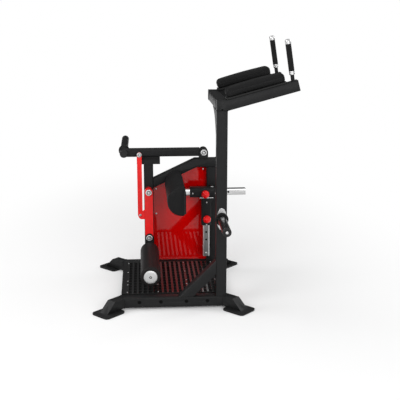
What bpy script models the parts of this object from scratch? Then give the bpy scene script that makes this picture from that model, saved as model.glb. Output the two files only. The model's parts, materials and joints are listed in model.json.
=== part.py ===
# Standing hamstring machine: plate loaded leg curl for one leg at a time.
#
# The user stands on the deck facing +X, leans the forearms on the two pads of the shelf, holds the
# handles, presses a thigh on the D-shaped pad and pushes the foam roller back and up. The swing arm
# turns at knee height; its lug lifts the link, and the link lifts the weight lever.
#
# Units are metres. Pieces are placed in the station frame: X = 0 is the mast's left face, Y = 0 the near
# face of the near base rail, Z = 0 the floor. One empty carries that frame to the model's own origin,
# the centre of the bounding box on the floor.

import math

import bmesh
import bpy
from mathutils import Matrix, Vector

# Clearances
SEAT_GAP = 0.0003            # between pieces that are welded, bolted or seated together
RUN_GAP = 0.0005             # between a pin and the bore that turns on it
SIDE_PLAY = 0.0020           # beside the link, the lever and the arm
WELD_BITE = 0.0010           # how far a welded detail sinks into what carries it
CUT_PAST = 0.010             # how far a cutter runs past the faces it opens
EDGE = 0.002                 # chamfer on turned pieces

# Steel tube
TUBE = 0.060                 # outer side of the frame's square tube
TUBE_WALL = 0.003
TUBE_CORNER = 0.005          # outer corner radius
BAR_CORNER = 0.003           # outer corner radius of the smaller tubes
CORNER_STEPS = 2             # facets on a tube's rounded corner
DRAIN_RADIUS = 0.004         # drain holes of tubes that are shut at both ends

# Base
PLATE_FOOT = 0.010           # thickness of the foot plates, which also lift the rails off the floor
RAIL_LENGTH = 0.582          # between the mitre points of a rail's centre line
RAIL_LEFT = -0.533           # X of the left mitre point
RAIL_PITCH = 0.6625          # Y distance between the two rails
FOOT_SPLAY = math.radians(45)
FOOT_REACH = 0.117           # mitre point to the middle of the slanted end
FOOT_SLANT = math.radians(47)
FOOT_PLATE_LENGTH = 0.146    # along the leg
FOOT_PLATE_WIDTH = 0.130
FOOT_PLATE_CORNER = 0.020
FOOT_PLATE_REACH = 0.110     # mitre point to the plate's centre
RAIL_SCREW_X = (-0.437, -0.315, -0.169, -0.049)
RAIL_SCREW_RADIUS = 0.0065
RAIL_SCREW_DEPTH = 0.002
RAIL_SCREW_RISE = 0.004      # above the rail's middle

# Deck
DECK_LEFT_OUT = 0.008        # past the rail's left mitre point
DECK_RIGHT_IN = 0.0015       # short of the right one
DECK_THICKNESS = 0.003
DECK_NEAR_GAP = 0.018        # groove between the near rail and the deck
DECK_LIP_DROP = 0.014        # depth of the groove
POCKET_DEPTH = 0.0018
POCKET_COLUMNS = 9
POCKET_ROWS = 12
POCKET_WIDTH = 0.0156
POCKET_LENGTH = 0.0416
POCKET_LEFT_IN = 0.0433        # flat left around the pockets, on each side
POCKET_RIGHT_IN = 0.0641
POCKET_NEAR_IN = 0.0065
POCKET_FAR_IN = 0.0180
CROSSBAR_COUNT = 4
CROSSBAR_LEFT_IN = 0.0266    # first crossbar's middle to the rail's left mitre point
CROSSBAR_RIGHT_IN = 0.0290   # last one's to the right mitre point
CROSSBAR_WIDTH = 0.040
CROSSBAR_HEIGHT = 0.040

# Mast and brace
SHELF_HEIGHT = 1.1894        # top of the shelf crossbar
BRACE_FOOT_X = -0.2115       # where the brace's upper face meets the rail

# Shelf
SHELF_WIDTH = 0.5874         # outer Y size of the shelf
SHELF_BEND_X = 0.054         # where the rails start to climb
SHELF_CLIMB = math.radians(15.0)
SHELF_REACH = 0.407          # length of the climbing stretch of a rail
SHELF_HOLE_RADIUS = 0.0035   # drilled in the near rail's side, over the mast
SHELF_HOLE_RISE = 0.008      # above the rail's lower face
GUSSET_RUN = 0.190           # along Y, under the crossbar
GUSSET_DROP = 0.135
GUSSET_THICKNESS = 0.010
GUSSET_HOLLOW = 0.030        # how far its free edge bows in

# Forearm pads
PAD_START = 0.0085           # from the bend, along the climb
ARM_PAD_LENGTH = 0.338
ARM_PAD_WIDTH = 0.100
ARM_PAD_HEIGHT = 0.054
ARM_PAD_CORNER = 0.022       # corner radius seen from above
ARM_PAD_EDGE = 0.018         # rounding of the top edge
ARM_PAD_DRAW_IN = 0.004      # at the foot of the sides
ARM_PAD_INSET = 0.017        # from the rail's middle toward the other rail
BOARD_THICKNESS = 0.008
BOARD_MARGIN = 0.001         # board's edge inside the cushion's edge

# Handles
HANDLE_AT = 0.383            # along the climb from the bend
HANDLE_LEAN = math.radians(9.0)
ROD_RADIUS = 0.0105
ROD_EXPOSED = 0.034          # from the rail up to the ring
ROD_SUNK = 0.013             # below the rail's top face
RING_RADIUS = 0.0150
RING_HEIGHT = 0.020
GRIP_RADIUS = 0.0155
GRIP_LENGTH = 0.145
CAP_RADIUS = 0.0160
CAP_HEIGHT = 0.026

# Plate storage peg on the mast
PEG_Z = 0.527
PEG_RADIUS = 0.0245
PEG_LENGTH = 0.252           # in front of the disc
FLANGE_WIDTH = 0.058
FLANGE_HEIGHT = 0.130
FLANGE_THICKNESS = 0.008
FLANGE_FULLNESS = 1.85       # 2 is an ellipse, 1 a diamond
PEG_DISC_RADIUS = 0.0365
PEG_DISC_THICKNESS = 0.012
PEG_CAP_LENGTH = 0.011
PEG_CAP_RADIUS = 0.0245      # no wider than the peg, so a plate slides over it
PEG_CAP_EDGE = 0.004         # its rounded rim

# Far frame
POST_LEFT_X = -0.400         # left face of the left post
POST_LEFT_TOP = 0.714
POST_RIGHT_X = 0.000
TOP_TUBE_HEIGHT = 0.055
TOP_TUBE_TOP = 0.7445
TOP_TUBE_BEND_X = -0.071
TOP_TUBE_FALL = math.radians(25.3)
PANEL_THICKNESS = 0.003
PANEL_INSET = 0.005          # from the posts' far faces
PANEL_FLOOR_GAP = 0.0015     # above the rail
TAB_SIZE = 0.026
TAB_THICKNESS = 0.003
TAB_LEFT_Z = (0.150, 0.378, 0.542)
TAB_RIGHT_Z = (0.150, 0.420, 0.668)

# Stop
SADDLE_LENGTH = 0.146
SADDLE_LEFT_X = -0.4425
SADDLE_HEIGHT = 0.030
STOP_DEPTH = 0.066           # along Y

# Weight lever
LEVER_TUBE = 0.050
LEVER_Z = 0.7850
LEVER_PIVOT_X = -0.0200
LEVER_BOSS_RADIUS = 0.0260
LEVER_CROSS_X = -0.523       # axis of the cross tube at the lever's free end
CROSS_RADIUS = 0.025
CROSS_NEAR_REACH = 0.026     # the cross tube stands this far off the lever's near face
CROSS_FAR_REACH = 0.050
END_CAP_RADIUS = 0.0245
END_CAP_LENGTH = 0.004
COLLAR_RADIUS = 0.035
COLLAR_THICKNESS = 0.010
SLEEVE_RADIUS = 0.0245
SLEEVE_LENGTH = 0.446
EAR_THICKNESS = 0.008
EAR_WIDTH = 0.056
EAR_BASE_THICKNESS = 0.006
PIN_RADIUS = 0.0100
BOLT_HEAD_RADIUS = 0.0200
BOLT_HEAD_HEIGHT = 0.010
NUT_RADIUS = 0.0140
NUT_HEIGHT = 0.009

# Swing arm
KNEE_X = -0.3710
KNEE_Z = 0.5420
ARM_WIDTH = 0.052
ARM_DEPTH = 0.050
ARM_STANDOFF = 0.004         # between the arm and the post
ARM_LENGTH = 0.2935          # knee pivot to carrier bolt
LUG_THICKNESS = 0.008
LUG_SIDE_X = -0.4265         # X of the link's lower pivot at rest
LUG_Z = 0.3925
LUG_RADIUS = 0.0145
LUG_TOP_Z = 0.4277
LUG_BOTTOM_Z = 0.3650
LUG_HEEL_RADIUS = 0.0200     # rounding of its lower edge
LUG_HEEL_IN = 0.004          # its lower edge stands this far in from its left one

# Link
LINK_TOP_Z = 0.7790
LINK_WIDTH = 0.030
LINK_THICKNESS = 0.010
LINK_PIN_RADIUS = 0.0060
LINK_HEAD_RADIUS = 0.0150
LINK_HEAD_HEIGHT = 0.008
LUG_HEAD_RADIUS = 0.0080
LUG_HEAD_HEIGHT = 0.006

# Roller
CARRIER_THICKNESS = 0.010
CARRIER_WIDTH = 0.053
ROLLER_DROP = 0.0795         # carrier bolt to roller shaft
ROLLER_RADIUS = 0.058
ROLLER_LENGTH = 0.507
ROLLER_EDGE = 0.016
ROLLER_FAR_GAP = 0.018       # between the roller and the carrier
SHAFT_RADIUS = 0.0125
SHOULDER_RADIUS = 0.0215     # collar on the shaft between roller and carrier
ROLLER_CAP_RADIUS = 0.0395
ROLLER_CAP_HEIGHT = 0.008

# Thigh pad adjuster
BAR = 0.040                  # side of the sliding square tubes
BAR_WALL = 0.003
HOUSING = 0.060              # outer side of the two sleeves
HOUSING_LENGTH = 0.176
ADJUST_X = -0.008            # middle of the upright bar
ADJUST_GAP = 0.0125          # between the sleeve's far face and the right post
UPRIGHT_BOTTOM = 0.1186
CARRIAGE_TRAVEL = 0.100      # from the setting shown down to the lowest one
UPRIGHT_HEADROOM = 0.003     # bar's top to the carriage's plate at the lowest setting
UPRIGHT_SLEEVE_BOTTOM = 0.3264
HOUSING_LEFT_X = -0.1117
CARRIAGE_PLATE = 0.0080
CARRIAGE_PLATE_LENGTH = 0.086
HOLE_PITCH = 0.050
HOLE_RADIUS = 0.0065
PIN_V_Z = 0.379              # height of the vertical pull pin
PIN_H_X = -0.0180            # X of the horizontal pull pin
UPRIGHT_HOLES = 4            # the one that the pin is in and those under it
PAD_TUBE_HOLES = 4           # the one that the pin is in and those to its right
PAD_TUBE_END_X = 0.2417
LINER_GAP = 0.0004           # play of a bar in its sleeve, on each side
CARRIAGE_GUSSET = 0.045
BRACKET_HEIGHT = 0.060        # block between the bar's foot and the right post
BRACKET_TOP = 0.1686
PULL_PIN_RADIUS = 0.0060
PULL_HOUSING_RADIUS = 0.0110
PULL_HOUSING_LENGTH = 0.022
BALL_RADIUS = 0.0245
BALL_STANDOFF = 0.003        # between housing and ball, pin engaged
SMALL_SCREW_RADIUS = 0.0055
SMALL_SCREW_HEIGHT = 0.0025
CROSS_SCREW_IN = 0.016       # screw to the horizontal sleeve's end
LOW_SCREW_IN = 0.010         # screws to the vertical sleeve's ends
HIGH_SCREW_IN = 0.020
CLAMP_BOLT_RADIUS = 0.0105
CLAMP_BOLT_HEIGHT = 0.0130
CLAMP_BOLT_IN = 0.036        # from the horizontal sleeve's right end

# Thigh pad
THIGH_PAD_HEIGHT = 0.172
THIGH_PAD_DEPTH = 0.100
THIGH_PAD_FAR_GAP = 0.0175   # to the far frame
THIGH_PAD_LENGTH = 0.515
THIGH_PAD_FACE_X = -0.166    # flat side
THIGH_PAD_Z = 0.5945
THIGH_PAD_EDGE = 0.006
PAD_PLATE_THICKNESS = 0.006
PAD_PLATE_HEIGHT = 0.130
PAD_PLATE_BELOW = 0.005      # below the tube welded on it
PAD_PLATE_MARGIN = 0.030     # from the pad's near end
PAD_PLATE_FAR_MARGIN = 0.010

# Values worked out from those above
RAIL_Z0 = PLATE_FOOT
RAIL_Z1 = RAIL_Z0 + TUBE
RAIL_ZC = RAIL_Z0 + TUBE / 2
RAIL_RIGHT = RAIL_LEFT + RAIL_LENGTH
DECK_LEFT = RAIL_LEFT - DECK_LEFT_OUT
DECK_RIGHT = RAIL_RIGHT - DECK_RIGHT_IN
NEAR_RAIL_Y = TUBE / 2
FAR_RAIL_Y = RAIL_PITCH + TUBE / 2
FRAME_NEAR = RAIL_PITCH                    # near face of the far frame
FRAME_FAR = RAIL_PITCH + TUBE
FRAME_Y = RAIL_PITCH + TUBE / 2
LEVER_NEAR = FRAME_Y - LEVER_TUBE / 2
LEVER_FAR = FRAME_Y + LEVER_TUBE / 2
ARM_FAR = FRAME_NEAR - ARM_STANDOFF
ARM_NEAR = ARM_FAR - ARM_DEPTH
ARM_END_Z = KNEE_Z - ARM_LENGTH
CARRIER_FAR = ARM_NEAR - RUN_GAP
CARRIER_NEAR = CARRIER_FAR - CARRIER_THICKNESS
ROLLER_Z = ARM_END_Z - ROLLER_DROP
ROLLER_FAR = CARRIER_NEAR - ROLLER_FAR_GAP
ROLLER_NEAR = ROLLER_FAR - ROLLER_LENGTH
LINK_NEAR = ARM_NEAR + ARM_DEPTH / 2 + SIDE_PLAY
LINK_FAR = LINK_NEAR + LINK_THICKNESS
LUG_FAR = LINK_NEAR - SIDE_PLAY
LUG_NEAR = LUG_FAR - LUG_THICKNESS
HOUSING_FAR = FRAME_NEAR - ADJUST_GAP
HOUSING_NEAR = HOUSING_FAR - HOUSING
ADJUST_Y = HOUSING_FAR - HOUSING / 2
UPRIGHT_SLEEVE_TOP = UPRIGHT_SLEEVE_BOTTOM + HOUSING_LENGTH
PLATE_Z0 = UPRIGHT_SLEEVE_TOP
UPRIGHT_TOP = PLATE_Z0 - CARRIAGE_TRAVEL - UPRIGHT_HEADROOM
CROSS_SLEEVE_Z0 = PLATE_Z0 + CARRIAGE_PLATE
CROSS_SLEEVE_ZC = CROSS_SLEEVE_Z0 + HOUSING / 2
HOUSING_RIGHT_X = HOUSING_LEFT_X + HOUSING_LENGTH
CLIMB = Vector((math.cos(SHELF_CLIMB), 0, math.sin(SHELF_CLIMB)))
RISE = Vector((-math.sin(SHELF_CLIMB), 0, math.cos(SHELF_CLIMB)))
SHELF_ZC = SHELF_HEIGHT - TUBE / 2
SHELF_BEND = Vector((SHELF_BEND_X, 0, SHELF_ZC))
NEAR_SHELF_Y = TUBE / 2
FAR_SHELF_Y = SHELF_WIDTH - TUBE / 2

X, Y, Z = Vector((1, 0, 0)), Vector((0, 1, 0)), Vector((0, 0, 1))

# The bounding box, whose centre on the floor is the origin
PLATE_TIP = (FOOT_PLATE_REACH + FOOT_PLATE_LENGTH / 2) * math.cos(FOOT_SPLAY) \
    + (FOOT_PLATE_WIDTH / 2) * math.sin(FOOT_SPLAY) \
    - FOOT_PLATE_CORNER * (math.cos(FOOT_SPLAY) + math.sin(FOOT_SPLAY) - 1)
BOX_LEFT = RAIL_LEFT - PLATE_TIP
BOX_RIGHT = (SHELF_BEND + SHELF_REACH * CLIMB - TUBE / 2 * RISE).x
BOX_NEAR = -(SEAT_GAP * 3 + FLANGE_THICKNESS + PEG_DISC_THICKNESS + PEG_LENGTH + PEG_CAP_LENGTH)
BOX_FAR = LEVER_FAR + CROSS_FAR_REACH + COLLAR_THICKNESS + SLEEVE_LENGTH + 2 * SEAT_GAP + END_CAP_LENGTH
ORIGIN_X = (BOX_LEFT + BOX_RIGHT) / 2
ORIGIN_Y = (BOX_NEAR + BOX_FAR) / 2


# Scene

for old in list(bpy.data.objects):
    bpy.data.objects.remove(old, do_unlink=True)


def make_empty(name, location, parent=None):
    """An empty to hang pieces on, at a place in its parent's frame."""
    empty = bpy.data.objects.new(name, None)
    empty.location = location
    empty.parent = parent
    bpy.context.collection.objects.link(empty)
    return empty


STATION = make_empty("station_frame", (-ORIGIN_X, -ORIGIN_Y, 0))


def make_material(name, colour, roughness, metallic):
    """A Principled material."""
    material = bpy.data.materials.new(name)
    material.use_nodes = True
    shader = material.node_tree.nodes["Principled BSDF"]
    shader.inputs["Base Color"].default_value = (*colour, 1)
    shader.inputs["Roughness"].default_value = roughness
    shader.inputs["Metallic"].default_value = metallic
    return material


BLACK = make_material("black_powder_coat", (0.022, 0.022, 0.023), 0.42, 0.0)
RED = make_material("red_powder_coat", (0.62, 0.012, 0.012), 0.32, 0.0)
PANEL_RED = make_material("red_gloss_panel", (0.50, 0.002, 0.002), 0.10, 0.0)
CHROME = make_material("chrome", (0.80, 0.80, 0.80), 0.12, 1.0)
STEEL = make_material("brushed_steel", (0.45, 0.45, 0.45), 0.35, 1.0)
RUBBER = make_material("black_rubber", (0.012, 0.012, 0.012), 0.75, 0.0)
PLASTIC = make_material("black_plastic", (0.016, 0.016, 0.016), 0.45, 0.0)
VINYL = make_material("black_vinyl", (0.014, 0.014, 0.014), 0.55, 0.0)
KNOB_RED = make_material("red_plastic", (0.60, 0.010, 0.012), 0.20, 0.0)
BOARD = make_material("painted_board", (0.012, 0.012, 0.012), 0.70, 0.0)


def finish(name, bm, material, parent=None, at=(0, 0, 0), smooth=True):
    """Turn a bmesh in the station frame into an object whose origin is at a given point of that frame."""
    bmesh.ops.recalc_face_normals(bm, faces=bm.faces)
    bmesh.ops.translate(bm, verts=bm.verts, vec=-Vector(at))
    mesh = bpy.data.meshes.new(name)
    bm.to_mesh(mesh)
    bm.free()
    mesh.materials.append(material)
    if smooth:
        mesh.shade_smooth()
        mesh.set_sharp_from_angle(angle=math.radians(35))
    piece = bpy.data.objects.new(name, mesh)
    holder = parent or STATION
    piece.parent = holder
    base = Vector((0, 0, 0))
    while holder is not STATION:
        base += holder.location
        holder = holder.parent
    piece.location = Vector(at) - base
    bpy.context.collection.objects.link(piece)
    return piece


def combine(piece, tool, operation):
    """Cut a tool out of a piece, or weld it on. The tool stays in the file as a hidden guide."""
    step = piece.modifiers.new(operation.lower(), "BOOLEAN")
    step.operation = operation
    step.object = tool
    step.solver = "EXACT"
    tool.hide_render = True
    tool.hide_viewport = False
    tool.display_type = "WIRE"


def cut(piece, tool):
    combine(piece, tool, "DIFFERENCE")


def weld(piece, tool):
    combine(piece, tool, "UNION")


# Shapes, all returned as bmeshes in the station frame

def loop_faces(bm, low, high):
    """Quads between two rings of equal count."""
    count = len(low)
    for i in range(count):
        j = (i + 1) % count
        bm.faces.new((low[i], low[j], high[j], high[i]))


def rounded_rect(width, height, radius, steps=CORNER_STEPS):
    """Points of a rounded rectangle about the origin, anticlockwise."""
    points = []
    for quarter, (sx, sy) in enumerate(((1, 1), (-1, 1), (-1, -1), (1, -1))):
        cx, cy = sx * (width / 2 - radius), sy * (height / 2 - radius)
        for step in range(steps + 1):
            turn = math.pi / 2 * (quarter + step / steps)
            points.append((cx + radius * math.cos(turn), cy + radius * math.sin(turn)))
    return points


def box_shape(low, high):
    """A plain box between two corners."""
    bm = bmesh.new()
    bmesh.ops.create_cube(bm, size=1)
    low, high = Vector(low), Vector(high)
    size = high - low
    bmesh.ops.scale(bm, vec=size, verts=bm.verts)
    bmesh.ops.translate(bm, vec=(low + high) / 2, verts=bm.verts)
    return bm


def pocket_lines(low, high, low_margin, high_margin, count, width):
    """The sheet's two edges and, between them, both edges of each of a row of evenly spaced pockets."""
    first, last = low + low_margin, high - high_margin - width
    lines = [low]
    for number in range(count):
        start = first + (last - first) * number / (count - 1)
        lines += [start, start + width]
    return lines + [high]


def pocketed_shape(xs, ys, bottom, top, depth):
    """A flat slab over a grid of lines. Cells of odd column and odd row are pockets of a depth."""
    bm = bmesh.new()
    upper, floors = ([[bm.verts.new((x, y, z)) if is_used(xs, ys, i, j, z < top) else None
                       for j, y in enumerate(ys)] for i, x in enumerate(xs)] for z in (top, top - depth))
    columns, rows = len(xs) - 1, len(ys) - 1
    for i in range(columns):
        for j in range(rows):
            corners = [(i, j), (i + 1, j), (i + 1, j + 1), (i, j + 1)]
            if i % 2 == 0 or j % 2 == 0:
                bm.faces.new([upper[a][b] for a, b in corners])
                continue
            bm.faces.new([floors[a][b] for a, b in corners])
            for (a, b), (c, d) in zip(corners, corners[1:] + corners[:1]):
                bm.faces.new((floors[c][d], floors[a][b], upper[a][b], upper[c][d]))
    rim = [(i, 0) for i in range(columns)] + [(columns, j) for j in range(rows)]
    rim += [(i, rows) for i in range(columns, 0, -1)] + [(0, j) for j in range(rows, 0, -1)]
    low = [bm.verts.new((xs[i], ys[j], bottom)) for i, j in rim]
    high = [upper[i][j] for i, j in rim]
    loop_faces(bm, low, high)
    bm.faces.new(low[::-1])
    return bm


def is_used(xs, ys, i, j, on_floor):
    """Whether a grid point is a corner of something: all are on top, and on the floors all but the rim."""
    return not on_floor or (0 < i < len(xs) - 1 and 0 < j < len(ys) - 1)


def prism_shape(outline, axes, start, end):
    """A flat outline in the plane of two axes, extruded along their cross product from start to end."""
    u, v = axes
    normal = u.cross(v)
    bm = bmesh.new()
    low = [bm.verts.new(u * a + v * b + normal * start) for a, b in outline]
    high = [bm.verts.new(u * a + v * b + normal * end) for a, b in outline]
    loop_faces(bm, low, high)
    bm.faces.new(low[::-1])
    bm.faces.new(high)
    return bm


def turned_shape(profile, centre, axis, sides=32):
    """A profile of (distance along the axis, radius), turned about the axis through a centre.

    A radius of zero closes an end to a point; a profile whose first and last points are equal is a ring.
    """
    axis = axis.normalized()
    u = axis.orthogonal().normalized()
    v = axis.cross(u)
    bm = bmesh.new()
    rings = []
    ring_like = profile[0] == profile[-1]
    points = profile[:-1] if ring_like else profile
    for along, radius in points:
        middle = Vector(centre) + axis * along
        if radius == 0:
            rings.append([bm.verts.new(middle)])
            continue
        turn = [2 * math.pi * i / sides for i in range(sides)]
        rings.append([bm.verts.new(middle + radius * (math.cos(t) * u + math.sin(t) * v)) for t in turn])
    pairs = list(zip(rings, rings[1:]))
    if ring_like:
        pairs.append((rings[-1], rings[0]))
    for low, high in pairs:
        if len(low) == 1:
            for i in range(sides):
                bm.faces.new((low[0], high[(i + 1) % sides], high[i]))
        elif len(high) == 1:
            for i in range(sides):
                bm.faces.new((low[i], low[(i + 1) % sides], high[0]))
        else:
            loop_faces(bm, low, high)
    if not ring_like:
        if len(rings[0]) > 1:
            bm.faces.new(rings[0][::-1])
        if len(rings[-1]) > 1:
            bm.faces.new(rings[-1])
    return bm


def rod_shape(centre, axis, length, radius, sides=24):
    """A plain round bar that starts at a centre."""
    return turned_shape([(0, radius), (length, radius)], centre, axis, sides)


def tube_shape(path, side, size_side, size_other, wall, cuts=(None, None), closed=(False, False),
               corner=TUBE_CORNER):
    """A hollow rectangular tube along a flat path.

    side is the normal of the path's plane, cuts are the normals of the two end planes where they aren't
    square, and closed tells which end has a wall across it. At least one end stays open.
    """
    path = [Vector(p) for p in path]
    runs = [(b - a).normalized() for a, b in zip(path, path[1:])]
    outer = rounded_rect(size_side, size_other, corner)
    inner = rounded_rect(size_side - 2 * wall, size_other - 2 * wall, max(corner - wall, 0.001))
    bm = bmesh.new()

    def ring(points, at, run, normal, push):
        other = run.cross(side).normalized()
        made = []
        for a, b in points:
            offset = a * side + b * other
            slide = -offset.dot(normal) / run.dot(normal)
            made.append(bm.verts.new(at + offset + (slide + push) * run))
        return made

    outer_rings, inner_rings = [], []
    for index, at in enumerate(path):
        run = runs[min(index, len(runs) - 1)]
        if 0 < index < len(path) - 1:
            normal = (runs[index - 1] + runs[index]).normalized()
            push = 0
        elif index == 0:
            normal = cuts[0] or run
            push = wall if closed[0] else 0
        else:
            normal = cuts[1] or run
            push = -wall if closed[1] else 0
        outer_rings.append(ring(outer, at, run, normal, 0))
        inner_rings.append(ring(inner, at, run, normal, push))
    for low, high in zip(outer_rings, outer_rings[1:]):
        loop_faces(bm, low, high)
    for low, high in zip(inner_rings, inner_rings[1:]):
        loop_faces(bm, high, low)
    for end, is_closed in ((0, closed[0]), (-1, closed[1])):
        if is_closed:
            bm.faces.new(outer_rings[end])
            bm.faces.new(inner_rings[end])
        else:
            loop_faces(bm, outer_rings[end], inner_rings[end])
    return bm


def bolt_shape(face, axis, head_radius, head_height, shank_radius, shank_length):
    """A domed bolt: its head stands on a face, against the axis; its shank runs along the axis."""
    profile = [
        (-head_height, 0),
        (-head_height, head_radius * 0.35),
        (-head_height * 0.80, head_radius * 0.75),
        (-head_height * 0.30, head_radius),
        (0, head_radius),
        (0, shank_radius),
        (shank_length, shank_radius),
        (shank_length, 0),
    ]
    return turned_shape(profile, face, axis, sides=24)


def cushion_shape(length, width, height):
    """A pad lying along +X on z = 0, centred on X and Y: sides drawn in at the foot, rounded top edge and
    a crowned top."""
    # Each ring is (distance inside the widest outline, height).
    rings = []
    sections = [
        (ARM_PAD_DRAW_IN, 0),
        (ARM_PAD_DRAW_IN * 0.3, height * 0.10),
        (0, height * 0.28),
        (0, height * 0.52),
        (ARM_PAD_EDGE * 0.08, height * 0.66),
        (ARM_PAD_EDGE * 0.30, height * 0.79),
        (ARM_PAD_EDGE * 0.65, height * 0.89),
        (ARM_PAD_EDGE, height * 0.94),
        (ARM_PAD_EDGE * 1.5, height * 0.98),
        (width * 0.46, height),
    ]
    bm = bmesh.new()
    for inset, z in sections:
        corner = max(ARM_PAD_CORNER - inset, 0.002)
        outline = rounded_rect(length - 2 * inset, width - 2 * inset, corner, steps=5)
        rings.append([bm.verts.new((x, y, z)) for x, y in outline])
    for low, high in zip(rings, rings[1:]):
        loop_faces(bm, low, high)
    bm.faces.new(rings[0][::-1])
    bm.faces.new(rings[-1])
    return bm


# Base

def build_base():
    """Rails, feet, crossbars and deck."""
    for tag, rail_y, outward in (("near", NEAR_RAIL_Y, -1), ("far", FAR_RAIL_Y, 1)):
        ends = (Vector((RAIL_LEFT, rail_y, RAIL_ZC)), Vector((RAIL_RIGHT, rail_y, RAIL_ZC)))
        legs = []
        for sign in (-1, 1):
            legs.append(Vector((sign * math.cos(FOOT_SPLAY), outward * math.sin(FOOT_SPLAY), 0)))
        mitres = ((X - legs[0]).normalized(), (X + legs[1]).normalized())
        rail = finish(f"base_rail_{tag}",
                      tube_shape(ends, Z, TUBE, TUBE, TUBE_WALL, cuts=mitres), BLACK, at=ends[0])
        if tag == "near":
            for x in RAIL_SCREW_X:
                recess = rod_shape((x, -CUT_PAST, RAIL_ZC + RAIL_SCREW_RISE), Y,
                                   RAIL_SCREW_DEPTH + CUT_PAST, RAIL_SCREW_RADIUS, 12)
                cut(rail, finish("rail_screw_recess", recess, BLACK))
        for side, end, leg, mitre in (("left", ends[0], legs[0], mitres[0]),
                                      ("right", ends[1], legs[1], mitres[1])):
            build_foot(f"foot_{tag}_{side}", end, leg, mitre)

    first, last = RAIL_LEFT + CROSSBAR_LEFT_IN, RAIL_RIGHT - CROSSBAR_RIGHT_IN
    for number in range(CROSSBAR_COUNT):
        x = first + (last - first) * number / (CROSSBAR_COUNT - 1)
        low_y, high_y = TUBE + SEAT_GAP, RAIL_PITCH - SEAT_GAP
        top = RAIL_Z1 - DECK_LIP_DROP - SEAT_GAP
        middle = top - CROSSBAR_HEIGHT / 2
        finish(f"crossbar_{number + 1}",
               tube_shape(((x, low_y, middle), (x, high_y, middle)), X, CROSSBAR_WIDTH, CROSSBAR_HEIGHT,
                          TUBE_WALL, corner=BAR_CORNER), BLACK, at=(x, low_y, middle))

    deck_edge = TUBE + DECK_NEAR_GAP
    columns = pocket_lines(DECK_LEFT, DECK_RIGHT, POCKET_LEFT_IN, POCKET_RIGHT_IN,
                           POCKET_COLUMNS, POCKET_WIDTH)
    rows = pocket_lines(deck_edge, RAIL_PITCH - SEAT_GAP, POCKET_NEAR_IN, POCKET_FAR_IN,
                        POCKET_ROWS, POCKET_LENGTH)
    sheet = pocketed_shape(columns, rows, RAIL_Z1 - DECK_THICKNESS, RAIL_Z1, POCKET_DEPTH)
    deck = finish("deck", sheet, BLACK, smooth=False)
    # Its near edge is folded down, then out to the rail.
    fold = box_shape((DECK_LEFT, deck_edge, RAIL_Z1 - DECK_LIP_DROP),
                     (DECK_RIGHT, deck_edge + DECK_THICKNESS, RAIL_Z1 - DECK_THICKNESS + WELD_BITE))
    weld(deck, finish("deck_fold", fold, BLACK, smooth=False))
    lip = box_shape((DECK_LEFT, TUBE + SEAT_GAP, RAIL_Z1 - DECK_LIP_DROP),
                    (DECK_RIGHT, deck_edge + DECK_THICKNESS, RAIL_Z1 - DECK_LIP_DROP + DECK_THICKNESS))
    weld(deck, finish("deck_lip", lip, BLACK, smooth=False))


def build_foot(name, joint, leg, mitre):
    """A splayed stub with a slanted end, welded on a rounded plate that stands on the floor."""
    slant = (leg * math.cos(FOOT_SLANT) + Z * math.sin(FOOT_SLANT)).normalized()
    start = joint + leg * 2 * SEAT_GAP
    stub = finish(name, tube_shape((start, joint + leg * FOOT_REACH), Z, TUBE, TUBE, TUBE_WALL,
                                   cuts=(mitre, slant), closed=(False, True)), BLACK, at=joint)
    outline = rounded_rect(FOOT_PLATE_LENGTH, FOOT_PLATE_WIDTH, FOOT_PLATE_CORNER, steps=4)
    across = Z.cross(leg)
    centre = joint + leg * FOOT_PLATE_REACH
    shifted = [(centre.dot(leg) + a, centre.dot(across) + b) for a, b in outline]
    plate = prism_shape(shifted, (leg, across), 0, PLATE_FOOT + WELD_BITE)
    weld(stub, finish(f"{name}_plate", plate, BLACK))


# Mast, brace and shelf

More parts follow.
